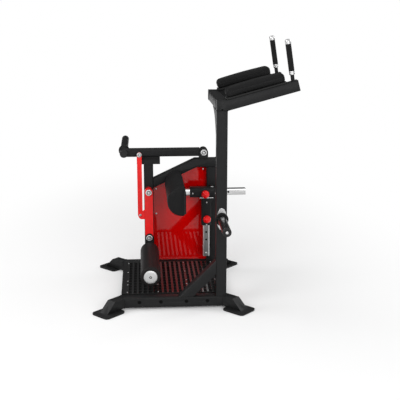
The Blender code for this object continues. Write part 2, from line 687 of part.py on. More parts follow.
def build_mast():
    """Mast on the near rail with its diagonal brace and the plate storage peg."""
    foot = Vector((TUBE / 2, NEAR_RAIL_Y, RAIL_Z1 + SEAT_GAP))
    head = Vector((TUBE / 2, NEAR_RAIL_Y, SHELF_HEIGHT - TUBE - SEAT_GAP))
    finish("mast", tube_shape((foot, head), Y, TUBE, TUBE, TUBE_WALL), BLACK, at=foot)

    half = TUBE / 2 * math.sqrt(2)
    low = Vector((BRACE_FOOT_X + half, NEAR_RAIL_Y, RAIL_Z1 + SEAT_GAP))
    run = -SEAT_GAP - low.x
    high = low + Vector((run, 0, run))
    finish("mast_brace", tube_shape((low, high), Y, TUBE, TUBE, TUBE_WALL, cuts=(Z, X)), BLACK, at=low)

    centre = Vector((TUBE / 2, 0, PEG_Z))
    flange_face = -SEAT_GAP
    outline = []
    for step in range(32):
        angle = 2 * math.pi * step / 32
        reach = (abs(math.cos(angle)) / (FLANGE_WIDTH / 2)) ** FLANGE_FULLNESS
        reach += (abs(math.sin(angle)) / (FLANGE_HEIGHT / 2)) ** FLANGE_FULLNESS
        reach = reach ** (-1 / FLANGE_FULLNESS)
        outline.append((centre.x + reach * math.cos(angle), centre.z + reach * math.sin(angle)))
    flange = prism_shape(outline, (X, Z), -flange_face, -flange_face + FLANGE_THICKNESS)
    finish("peg_flange", flange, CHROME, at=centre)

    disc_face = flange_face - FLANGE_THICKNESS - SEAT_GAP
    bore = PEG_RADIUS + SEAT_GAP
    disc = turned_shape([(0, bore), (0, PEG_DISC_RADIUS - EDGE), (EDGE, PEG_DISC_RADIUS),
                         (PEG_DISC_THICKNESS - EDGE, PEG_DISC_RADIUS),
                         (PEG_DISC_THICKNESS, PEG_DISC_RADIUS - EDGE), (PEG_DISC_THICKNESS, bore), (0, bore)],
                        (centre.x, disc_face, centre.z), -Y)
    finish("peg_disc", disc, RUBBER, at=centre)

    peg_length = PEG_DISC_THICKNESS + PEG_LENGTH
    peg = turned_shape([(0, 0), (0, PEG_RADIUS), (peg_length, PEG_RADIUS),
                        (peg_length, PEG_RADIUS - TUBE_WALL), (TUBE_WALL, PEG_RADIUS - TUBE_WALL),
                        (TUBE_WALL, 0)], (centre.x, disc_face, centre.z), -Y)
    finish("peg", peg, STEEL, at=centre)

    cap_face = disc_face - peg_length - SEAT_GAP
    cap = turned_shape([(0, 0), (0, PEG_CAP_RADIUS), (PEG_CAP_LENGTH - PEG_CAP_EDGE, PEG_CAP_RADIUS),
                        (PEG_CAP_LENGTH, PEG_CAP_RADIUS - PEG_CAP_EDGE), (PEG_CAP_LENGTH, 0)],
                       (centre.x, cap_face, centre.z), -Y)
    finish("peg_cap", cap, PLASTIC, at=centre)


def build_shelf():
    """Crossbar, two climbing rails, gusset, pads and handles."""
    low_y, high_y = TUBE + SEAT_GAP, SHELF_WIDTH - TUBE - SEAT_GAP
    finish("shelf_crossbar",
           tube_shape(((TUBE / 2, low_y, SHELF_ZC), (TUBE / 2, high_y, SHELF_ZC)), X, TUBE, TUBE, TUBE_WALL),
           BLACK, at=(TUBE / 2, low_y, SHELF_ZC))

    back = TUBE + SEAT_GAP
    top = SHELF_HEIGHT - TUBE - SEAT_GAP
    outline = [(back, top), (back + GUSSET_RUN, top)]
    steps = 8
    for step in range(1, steps):
        share = step / steps
        bow = GUSSET_HOLLOW * math.sin(math.pi * share)
        outline.append((back + GUSSET_RUN * (1 - share) - bow * 0.58, top - GUSSET_DROP * share + bow * 0.82))
    outline.append((back, top - GUSSET_DROP))
    gusset = prism_shape(outline, (Y, Z), 0, GUSSET_THICKNESS)
    finish("shelf_gusset", gusset, BLACK, at=(0, back, top))

    for tag, y, inward in (("near", NEAR_SHELF_Y, 1), ("far", FAR_SHELF_Y, -1)):
        start = Vector((0, y, SHELF_ZC))
        bend = Vector((SHELF_BEND.x, y, SHELF_BEND.z))
        end = bend + CLIMB * SHELF_REACH
        rail = finish(f"shelf_rail_{tag}",
                      tube_shape((start, bend, end), Y, TUBE, TUBE, TUBE_WALL, closed=(False, True)),
                      BLACK, at=start)
        half = TUBE / 2 - EDGE
        plate = box_shape((0, y - half, SHELF_ZC - half), (TUBE_WALL, y + half, SHELF_ZC + half))
        weld(rail, finish(f"shelf_end_plate_{tag}", plate, BLACK, smooth=False))
        if tag == "near":
            drilled = rod_shape((TUBE / 2, -CUT_PAST, SHELF_HEIGHT - TUBE + SHELF_HOLE_RISE), Y,
                                CUT_PAST + 2 * TUBE_WALL, SHELF_HOLE_RADIUS, 16)
            cut(rail, finish("shelf_drilled_hole", drilled, BLACK))
        build_handle(tag, bend, rail)
        build_arm_pad(tag, bend, y + inward * ARM_PAD_INSET)


def build_handle(tag, bend, rail):
    """Rod through the rail's top wall, ring, grip and cap on one leaning axis."""
    on_face = bend + CLIMB * HANDLE_AT + RISE * TUBE / 2
    axis = Vector((-math.sin(HANDLE_LEAN), 0, math.cos(HANDLE_LEAN)))
    rod_length = ROD_EXPOSED + RING_HEIGHT + GRIP_LENGTH
    rod = rod_shape(on_face - axis * ROD_SUNK, axis, rod_length + ROD_SUNK, ROD_RADIUS)
    finish(f"handle_rod_{tag}", rod, BLACK, at=on_face)
    hole = rod_shape(on_face - axis * (ROD_SUNK + TUBE_WALL), axis, ROD_SUNK + TUBE_WALL + CUT_PAST,
                     ROD_RADIUS + SEAT_GAP)
    cut(rail, finish(f"handle_hole_{tag}", hole, BLACK))

    bore = ROD_RADIUS + SEAT_GAP
    ring_at = ROD_EXPOSED
    ring_end = ring_at + RING_HEIGHT
    ring = turned_shape([(ring_at, bore), (ring_at, RING_RADIUS - EDGE), (ring_at + EDGE, RING_RADIUS),
                         (ring_end - EDGE, RING_RADIUS), (ring_end, RING_RADIUS - EDGE),
                         (ring_end, bore), (ring_at, bore)], on_face, axis, 24)
    finish(f"handle_ring_{tag}", ring, CHROME, at=on_face)

    grip_at = ring_end + SEAT_GAP
    grip_end = grip_at + GRIP_LENGTH - 2 * SEAT_GAP
    grip = turned_shape([(grip_at, bore), (grip_at, GRIP_RADIUS), (grip_end, GRIP_RADIUS),
                         (grip_end, bore), (grip_at, bore)], on_face, axis, 24)
    finish(f"handle_grip_{tag}", grip, RUBBER, at=on_face)

    cap_at = rod_length + SEAT_GAP
    cap_end = cap_at + CAP_HEIGHT
    cap = turned_shape([(cap_at, 0), (cap_at, CAP_RADIUS - EDGE / 2), (cap_at + EDGE / 2, CAP_RADIUS),
                        (cap_end - CAP_HEIGHT * 0.38, CAP_RADIUS),
                        (cap_end - CAP_HEIGHT * 0.15, CAP_RADIUS * 0.86),
                        (cap_end, CAP_RADIUS * 0.50), (cap_end, 0)], on_face, axis, 24)
    finish(f"handle_cap_{tag}", cap, CHROME, at=on_face)


def build_arm_pad(tag, bend, y):
    """Board on the rail and the crowned cushion on the board, in the climbing plane."""
    middle = bend + CLIMB * (PAD_START + ARM_PAD_LENGTH / 2) + RISE * (TUBE / 2 + SEAT_GAP)
    middle.y = y
    place = Matrix.Translation(middle) @ Matrix.Rotation(-SHELF_CLIMB, 4, "Y")
    half_length = ARM_PAD_LENGTH / 2 - BOARD_MARGIN
    half_width = ARM_PAD_WIDTH / 2 - BOARD_MARGIN
    board = box_shape((-half_length, -half_width, 0), (half_length, half_width, BOARD_THICKNESS))
    bmesh.ops.transform(board, matrix=place, verts=board.verts)
    finish(f"arm_pad_board_{tag}", board, BOARD, at=middle, smooth=False)
    cushion = cushion_shape(ARM_PAD_LENGTH, ARM_PAD_WIDTH, ARM_PAD_HEIGHT)
    lift = Matrix.Translation((0, 0, BOARD_THICKNESS + SEAT_GAP))
    bmesh.ops.transform(cushion, matrix=place @ lift, verts=cushion.verts)
    finish(f"arm_pad_{tag}", cushion, VINYL, at=middle)


# Far frame

def build_far_frame():
    """Posts, bent top tube, stop, side panel and the lever's pivot bracket."""
    left_x = POST_LEFT_X + TUBE / 2
    right_x = POST_RIGHT_X + TUBE / 2
    foot_z = RAIL_Z1 + SEAT_GAP

    saddle_z = POST_LEFT_TOP + SADDLE_HEIGHT
    post = finish("post_left",
                  tube_shape(((left_x, FRAME_Y, foot_z), (left_x, FRAME_Y, POST_LEFT_TOP + WELD_BITE)),
                             Y, TUBE, TUBE, TUBE_WALL), BLACK, at=(left_x, FRAME_Y, foot_z))
    saddle = box_shape((SADDLE_LEFT_X, FRAME_Y - STOP_DEPTH / 2, POST_LEFT_TOP),
                       (SADDLE_LEFT_X + SADDLE_LENGTH, FRAME_Y + STOP_DEPTH / 2, saddle_z))
    weld(post, finish("stop_saddle", saddle, BLACK, smooth=False))
    bumper_low = saddle_z + SEAT_GAP
    bumper_top = LEVER_Z - LEVER_TUBE / 2 - SEAT_GAP
    bumper = box_shape((SADDLE_LEFT_X, FRAME_Y - STOP_DEPTH / 2, bumper_low),
                       (SADDLE_LEFT_X + SADDLE_LENGTH, FRAME_Y + STOP_DEPTH / 2, bumper_top))
    finish("stop_bumper", bumper, RUBBER, smooth=False)
    knee = rod_shape((KNEE_X, FRAME_NEAR - CUT_PAST, KNEE_Z), Y, TUBE + 2 * CUT_PAST, PIN_RADIUS + SEAT_GAP)
    cut(post, finish("knee_hole", knee, BLACK))

    # The bent top tube starts at the left post's side and ends over the right post.
    top_zc = TOP_TUBE_TOP - TOP_TUBE_HEIGHT / 2
    slope = Vector((math.cos(TOP_TUBE_FALL), 0, math.sin(TOP_TUBE_FALL)))
    start_x = POST_LEFT_X + TUBE + SEAT_GAP
    start = Vector((start_x, FRAME_Y, top_zc - (TOP_TUBE_BEND_X - start_x) * math.tan(TOP_TUBE_FALL)))
    bend = Vector((TOP_TUBE_BEND_X, FRAME_Y, top_zc))
    end = Vector((POST_RIGHT_X + TUBE, FRAME_Y, top_zc))
    finish("top_tube", tube_shape((start, bend, end), Y, TUBE, TOP_TUBE_HEIGHT, TUBE_WALL,
                                  cuts=(X, None), closed=(False, True)), BLACK, at=bend)
    right = finish("post_right",
                   tube_shape(((right_x, FRAME_Y, foot_z),
                               (right_x, FRAME_Y, TOP_TUBE_TOP - TOP_TUBE_HEIGHT - SEAT_GAP)),
                              Y, TUBE, TUBE, TUBE_WALL), BLACK, at=(right_x, FRAME_Y, foot_z))

    # Side panel between the posts, under the top tube.
    panel_near = FRAME_FAR - PANEL_INSET - PANEL_THICKNESS
    low_left = start.z - (TOP_TUBE_HEIGHT / 2) / slope.x
    low_flat = TOP_TUBE_TOP - TOP_TUBE_HEIGHT
    turn = math.tan(TOP_TUBE_FALL / 2) * TOP_TUBE_HEIGHT / 2
    left, right_edge = start_x, POST_RIGHT_X - SEAT_GAP
    outline = [
        (left, RAIL_Z1 + PANEL_FLOOR_GAP),
        (right_edge, RAIL_Z1 + PANEL_FLOOR_GAP),
        (right_edge, low_flat - SEAT_GAP),
        (bend.x + turn, low_flat - SEAT_GAP),
        (left, low_left - 2 * SEAT_GAP),
    ]
    finish("side_panel", prism_shape(outline, (X, Z), -panel_near, -panel_near - PANEL_THICKNESS),
           PANEL_RED, smooth=False)
    tab_near = panel_near + PANEL_THICKNESS + SEAT_GAP
    for post_piece, heights, x, sign in ((post, TAB_LEFT_Z, POST_LEFT_X + TUBE, 1),
                                         (right, TAB_RIGHT_Z, POST_RIGHT_X, -1)):
        for z in heights:
            low_x, high_x = sorted((x - sign * WELD_BITE, x + sign * TAB_SIZE))
            tab = box_shape((low_x, tab_near, z - TAB_SIZE / 2),
                            (high_x, tab_near + TAB_THICKNESS, z + TAB_SIZE / 2))
            weld(post_piece, finish("panel_tab", tab, BLACK, smooth=False))

    # Block that holds the upright bar off the right post.
    block = box_shape((ADJUST_X - BAR / 2, ADJUST_Y + BAR / 2 + SEAT_GAP, BRACKET_TOP - BRACKET_HEIGHT),
                      (POST_RIGHT_X + TUBE / 2, FRAME_NEAR + WELD_BITE, BRACKET_TOP))
    weld(right, finish("upright_block", block, BLACK, smooth=False))

    # Pivot bracket with two ears on the flat of the top tube.
    base_z = TOP_TUBE_TOP + SEAT_GAP
    ear_near = LEVER_NEAR - SIDE_PLAY - EAR_THICKNESS
    ear_far = LEVER_FAR + SIDE_PLAY + EAR_THICKNESS
    base = box_shape((LEVER_PIVOT_X - EAR_WIDTH / 2, ear_near, base_z),
                     (LEVER_PIVOT_X + EAR_WIDTH / 2, ear_far, base_z + EAR_BASE_THICKNESS))
    bracket = finish("lever_bracket", base, BLACK)
    outline = [(LEVER_PIVOT_X - EAR_WIDTH / 2, base_z), (LEVER_PIVOT_X + EAR_WIDTH / 2, base_z)]
    for step in range(13):
        angle = math.pi * step / 12
        outline.append((LEVER_PIVOT_X + EAR_WIDTH / 2 * math.cos(angle),
                        LEVER_Z + EAR_WIDTH / 2 * math.sin(angle)))
    for near, far in ((ear_near, ear_near + EAR_THICKNESS), (ear_far - EAR_THICKNESS, ear_far)):
        weld(bracket, finish("lever_ear", prism_shape(outline, (X, Z), -far, -near), BLACK))
    bore = rod_shape((LEVER_PIVOT_X, ear_near - CUT_PAST, LEVER_Z), Y, ear_far - ear_near + 2 * CUT_PAST,
                     PIN_RADIUS + SEAT_GAP)
    cut(bracket, finish("lever_ear_bore", bore, BLACK))
    pivot = bolt_shape((LEVER_PIVOT_X, ear_near - SEAT_GAP, LEVER_Z), Y, BOLT_HEAD_RADIUS, BOLT_HEAD_HEIGHT,
                       PIN_RADIUS, ear_far - ear_near + SEAT_GAP)
    bolt = finish("lever_pivot_bolt", pivot, CHROME, at=(LEVER_PIVOT_X, FRAME_Y, LEVER_Z))
    neck = rod_shape((LEVER_PIVOT_X, ear_far - SEAT_GAP, LEVER_Z), Y, 2 * SEAT_GAP + NUT_HEIGHT,
                     PIN_RADIUS * 0.8)
    nut = rod_shape((LEVER_PIVOT_X, ear_far + SEAT_GAP, LEVER_Z), Y, NUT_HEIGHT, NUT_RADIUS, 6)
    weld(bolt, finish("lever_pivot_nut_neck", neck, CHROME))
    weld(bolt, finish("lever_pivot_nut", nut, CHROME))


# Weight lever and link

def build_lever():
    """Lever with its boss and cross tube, plate sleeve, caps, and the link with its bolts."""
    pivot = Vector((LEVER_PIVOT_X, FRAME_Y, LEVER_Z))
    axis = make_empty("lever_axis", pivot, STATION)
    half = LEVER_TUBE / 2
    bar = tube_shape(((LEVER_CROSS_X, FRAME_Y, LEVER_Z), (LEVER_PIVOT_X - half, FRAME_Y, LEVER_Z)),
                     Y, LEVER_TUBE, LEVER_TUBE, TUBE_WALL, closed=(False, True))
    lever = finish("weight_lever", bar, BLACK, axis, at=pivot)
    boss = rod_shape((LEVER_PIVOT_X, LEVER_NEAR, LEVER_Z), Y, LEVER_TUBE, LEVER_BOSS_RADIUS, 32)
    weld(lever, finish("lever_boss", boss, BLACK, axis, at=pivot))
    cross_near = LEVER_NEAR - CROSS_NEAR_REACH
    cross_far = LEVER_FAR + CROSS_FAR_REACH
    cross = rod_shape((LEVER_CROSS_X, cross_near, LEVER_Z), Y, cross_far - cross_near, CROSS_RADIUS, 32)
    weld(lever, finish("lever_cross_tube", cross, BLACK, axis, at=pivot))
    bore = rod_shape((LEVER_PIVOT_X, LEVER_NEAR - CUT_PAST, LEVER_Z), Y, LEVER_TUBE + 2 * CUT_PAST,
                     PIN_RADIUS + RUN_GAP)
    cut(lever, finish("lever_bore", bore, BLACK, axis, at=pivot))
    inside = rod_shape((LEVER_CROSS_X, cross_near - CUT_PAST, LEVER_Z), Y,
                       cross_far - cross_near + CUT_PAST - TUBE_WALL,
                       CROSS_RADIUS - TUBE_WALL, 32)
    cut(lever, finish("lever_cross_hollow", inside, BLACK, axis, at=pivot))
    # The two hollows meet, so that neither is sealed.
    window = rod_shape((LEVER_CROSS_X, FRAME_Y, LEVER_Z), X, CROSS_RADIUS + 2 * CUT_PAST, CROSS_RADIUS * 0.6)
    cut(lever, finish("lever_hollow_window", window, BLACK, axis, at=pivot))
    cap = turned_shape([(0, 0), (0, END_CAP_RADIUS), (END_CAP_LENGTH - EDGE, END_CAP_RADIUS),
                        (END_CAP_LENGTH, END_CAP_RADIUS - EDGE), (END_CAP_LENGTH, 0)],
                       (LEVER_CROSS_X, cross_near - SEAT_GAP, LEVER_Z), -Y)
    finish("lever_end_cap", cap, PLASTIC, axis, at=pivot)
    sleeve_at = cross_far + SEAT_GAP
    sleeve_end = COLLAR_THICKNESS + SLEEVE_LENGTH
    sleeve = turned_shape([(0, 0), (0, COLLAR_RADIUS - EDGE), (EDGE, COLLAR_RADIUS),
                           (COLLAR_THICKNESS - EDGE, COLLAR_RADIUS), (COLLAR_THICKNESS, COLLAR_RADIUS - EDGE),
                           (COLLAR_THICKNESS, SLEEVE_RADIUS), (sleeve_end, SLEEVE_RADIUS),
                           (sleeve_end, SLEEVE_RADIUS - TUBE_WALL),
                           (COLLAR_THICKNESS, SLEEVE_RADIUS - TUBE_WALL), (COLLAR_THICKNESS, 0)],
                          (LEVER_CROSS_X, sleeve_at, LEVER_Z), Y)
    finish("plate_sleeve", sleeve, BLACK, axis, at=pivot)
    cap = turned_shape([(0, 0), (0, SLEEVE_RADIUS), (END_CAP_LENGTH - EDGE, SLEEVE_RADIUS),
                        (END_CAP_LENGTH, SLEEVE_RADIUS - EDGE), (END_CAP_LENGTH, 0)],
                       (LEVER_CROSS_X, sleeve_at + sleeve_end + SEAT_GAP, LEVER_Z), Y)
    finish("sleeve_end_cap", cap, PLASTIC, axis, at=pivot)

    # The link hangs on a bolt in the lever's near wall.
    top = Vector((LUG_SIDE_X, LINK_NEAR, LINK_TOP_Z))
    link_axis = make_empty("link_axis", top - pivot, axis)
    reach = LINK_WIDTH / 2
    outline = []
    for centre_z, first in ((LINK_TOP_Z, 0), (LUG_Z, math.pi)):
        for step in range(11):
            angle = first + math.pi * step / 10
            outline.append((LUG_SIDE_X + reach * math.cos(angle), centre_z + reach * math.sin(angle)))
    link = finish("link", prism_shape(outline, (X, Z), -LINK_FAR, -LINK_NEAR), RED, link_axis, at=top)
    bore = rod_shape((LUG_SIDE_X, LINK_NEAR - CUT_PAST, LINK_TOP_Z), Y, LINK_THICKNESS + 2 * CUT_PAST,
                     LINK_PIN_RADIUS + RUN_GAP, 16)
    cut(link, finish("link_bore", bore, RED, link_axis, at=top))
    boss_length = LEVER_NEAR - LINK_FAR - 2 * SEAT_GAP
    face = LINK_NEAR - RUN_GAP
    profile = [
        (-LINK_HEAD_HEIGHT, 0),
        (-LINK_HEAD_HEIGHT, LINK_HEAD_RADIUS * 0.4),
        (-LINK_HEAD_HEIGHT * 0.3, LINK_HEAD_RADIUS),
        (0, LINK_HEAD_RADIUS),
        (0, LINK_PIN_RADIUS),
        (LINK_THICKNESS + 2 * RUN_GAP, LINK_PIN_RADIUS),
        (LINK_THICKNESS + 2 * RUN_GAP, LINK_HEAD_RADIUS * 0.8),
        (LINK_THICKNESS + RUN_GAP + boss_length, LINK_HEAD_RADIUS * 0.8),
        (LINK_THICKNESS + RUN_GAP + boss_length, 0),
    ]
    finish("link_upper_bolt", turned_shape(profile, (LUG_SIDE_X, face, LINK_TOP_Z), Y, 24), CHROME, axis,
           at=pivot)


# Swing arm and roller

def build_swing_arm():
    """Arm with its lug on the knee bolt, and the carrier with the roller at its lower end."""
    knee = Vector((KNEE_X, ARM_NEAR, KNEE_Z))
    bolt = bolt_shape((KNEE_X, ARM_NEAR - RUN_GAP, KNEE_Z), Y, BOLT_HEAD_RADIUS, BOLT_HEAD_HEIGHT,
                      PIN_RADIUS, FRAME_FAR + SEAT_GAP - ARM_NEAR + RUN_GAP + NUT_HEIGHT)
    knee_bolt = finish("knee_bolt", bolt, CHROME, at=knee)
    nut = rod_shape((KNEE_X, FRAME_FAR + SEAT_GAP, KNEE_Z), Y, NUT_HEIGHT, NUT_RADIUS, 6)
    weld(knee_bolt, finish("knee_nut", nut, CHROME, at=knee))
    spacer = rod_shape((KNEE_X, ARM_FAR + RUN_GAP, KNEE_Z), Y, ARM_STANDOFF - 2 * RUN_GAP, NUT_RADIUS, 24)
    weld(knee_bolt, finish("knee_spacer", spacer, CHROME, at=knee))

    axis = make_empty("arm_axis", knee, STATION)
    half = ARM_WIDTH / 2
    outline = []
    for centre_z, first in ((KNEE_Z, 0), (ARM_END_Z, math.pi)):
        for step in range(15):
            angle = first + math.pi * step / 14
            outline.append((KNEE_X + half * math.cos(angle), centre_z + half * math.sin(angle)))
    arm = finish("swing_arm", prism_shape(outline, (X, Z), -ARM_FAR, -ARM_NEAR), RED, axis, at=knee)
    end_wall = half + 2 * TUBE_WALL
    hollow = box_shape((KNEE_X - half + TUBE_WALL, ARM_NEAR + TUBE_WALL, ARM_END_Z + end_wall),
                       (KNEE_X + half - TUBE_WALL, ARM_FAR - TUBE_WALL, KNEE_Z - end_wall))
    drain = rod_shape((KNEE_X, ARM_FAR - 2 * TUBE_WALL, (KNEE_Z + ARM_END_Z) / 2), Y, 3 * TUBE_WALL,
                      DRAIN_RADIUS, 12)
    cut(arm, finish("arm_hollow", hollow, RED, axis, at=knee))
    cut(arm, finish("arm_drain_hole", drain, RED, axis, at=knee))
    side = KNEE_X - half + WELD_BITE
    outline = [(side, LUG_BOTTOM_Z), (side, LUG_TOP_Z)]
    heel_x = LUG_SIDE_X - LUG_RADIUS + LUG_HEEL_RADIUS + LUG_HEEL_IN
    heel_z = LUG_BOTTOM_Z + LUG_HEEL_RADIUS
    for x, z, radius, first, last in ((LUG_SIDE_X, LUG_Z, LUG_RADIUS, 100, 195),
                                      (heel_x, heel_z, LUG_HEEL_RADIUS, 215, 270)):
        for step in range(6):
            angle = math.radians(first + (last - first) * step / 5)
            outline.append((x + radius * math.cos(angle), z + radius * math.sin(angle)))
    lug = prism_shape(outline, (X, Z), -LUG_FAR, -LUG_NEAR)
    weld(arm, finish("arm_lug", lug, RED, axis, at=knee))
    for z, radius in ((KNEE_Z, PIN_RADIUS + RUN_GAP), (ARM_END_Z, PIN_RADIUS + SEAT_GAP)):
        bore = rod_shape((KNEE_X, ARM_NEAR - CUT_PAST, z), Y, ARM_DEPTH + 2 * CUT_PAST, radius)
        cut(arm, finish("arm_bore", bore, RED, axis, at=knee))
    hole = rod_shape((LUG_SIDE_X, LUG_NEAR - CUT_PAST, LUG_Z), Y, LUG_THICKNESS + 2 * CUT_PAST,
                     LINK_PIN_RADIUS + SEAT_GAP, 16)
    cut(arm, finish("lug_hole", hole, RED, axis, at=knee))
    bolt = bolt_shape((LUG_SIDE_X, LUG_NEAR - SEAT_GAP, LUG_Z), Y, LUG_HEAD_RADIUS, LUG_HEAD_HEIGHT,
                      LINK_PIN_RADIUS, LUG_THICKNESS + SEAT_GAP)
    finish("link_lower_bolt", bolt, CHROME, axis, at=knee)

    end = Vector((KNEE_X, CARRIER_NEAR, ARM_END_Z))
    shank = ARM_FAR - CARRIER_NEAR
    bolt = bolt_shape((KNEE_X, CARRIER_NEAR - RUN_GAP, ARM_END_Z), Y, BOLT_HEAD_RADIUS, BOLT_HEAD_HEIGHT,
                      PIN_RADIUS, shank + RUN_GAP)
    finish("carrier_bolt", bolt, CHROME, axis, at=knee)

    carrier_axis = make_empty("carrier_axis", end - knee, axis)
    half = CARRIER_WIDTH / 2
    outline = []
    for centre_z, first in ((ARM_END_Z, 0), (ROLLER_Z, math.pi)):
        for step in range(13):
            angle = first + math.pi * step / 12
            outline.append((KNEE_X + half * math.cos(angle), centre_z + half * math.sin(angle)))
    carrier = finish("roller_carrier", prism_shape(outline, (X, Z), -CARRIER_FAR, -CARRIER_NEAR), BLACK,
                     carrier_axis, at=end)
    shaft_length = CARRIER_NEAR - ROLLER_NEAR + WELD_BITE
    shaft = rod_shape((KNEE_X, ROLLER_NEAR, ROLLER_Z), Y, shaft_length, SHAFT_RADIUS)
    weld(carrier, finish("roller_shaft", shaft, BLACK, carrier_axis, at=end))
    shoulder = rod_shape((KNEE_X, ROLLER_FAR + RUN_GAP, ROLLER_Z), Y, ROLLER_FAR_GAP, SHOULDER_RADIUS)
    weld(carrier, finish("roller_shoulder", shoulder, BLACK, carrier_axis, at=end))
    bore = rod_shape((KNEE_X, CARRIER_NEAR - CUT_PAST, ARM_END_Z), Y, CARRIER_THICKNESS + 2 * CUT_PAST,
                     PIN_RADIUS + RUN_GAP)
    cut(carrier, finish("carrier_bore", bore, BLACK, carrier_axis, at=end))
    cap = turned_shape([(0, 0), (0, ROLLER_CAP_RADIUS), (ROLLER_CAP_HEIGHT * 0.4, ROLLER_CAP_RADIUS),
                        (ROLLER_CAP_HEIGHT * 0.75, ROLLER_CAP_RADIUS * 0.80),
                        (ROLLER_CAP_HEIGHT, ROLLER_CAP_RADIUS * 0.40), (ROLLER_CAP_HEIGHT, 0)],
                       (KNEE_X, ROLLER_NEAR - SEAT_GAP, ROLLER_Z), -Y)
    finish("roller_cap", cap, CHROME, carrier_axis, at=end)

    roller_axis = make_empty("roller_axis", Vector((KNEE_X, ROLLER_NEAR, ROLLER_Z)) - end, carrier_axis)
    bore = SHAFT_RADIUS + RUN_GAP
    profile = [(0, bore)]
    for corner, low in ((0, 1), (1, 0)):
        for step in range(6):
            angle = math.pi / 2 * step / 5
            if corner == 0:
                along = ROLLER_EDGE * (1 - math.sin(angle))
                radius = ROLLER_RADIUS - ROLLER_EDGE * (1 - math.cos(angle))
                profile.insert(1, (along, radius))
            else:
                along = ROLLER_LENGTH - ROLLER_EDGE * (1 - math.sin(angle))
                radius = ROLLER_RADIUS - ROLLER_EDGE * (1 - math.cos(angle))
                profile.append((along, radius))
    profile += [(ROLLER_LENGTH, bore), (0, bore)]
    foam = turned_shape(profile, (KNEE_X, ROLLER_NEAR, ROLLER_Z), Y, 40)
    finish("foam_roller", foam, VINYL, roller_axis, at=(KNEE_X, ROLLER_NEAR, ROLLER_Z))


# Thigh pad adjuster

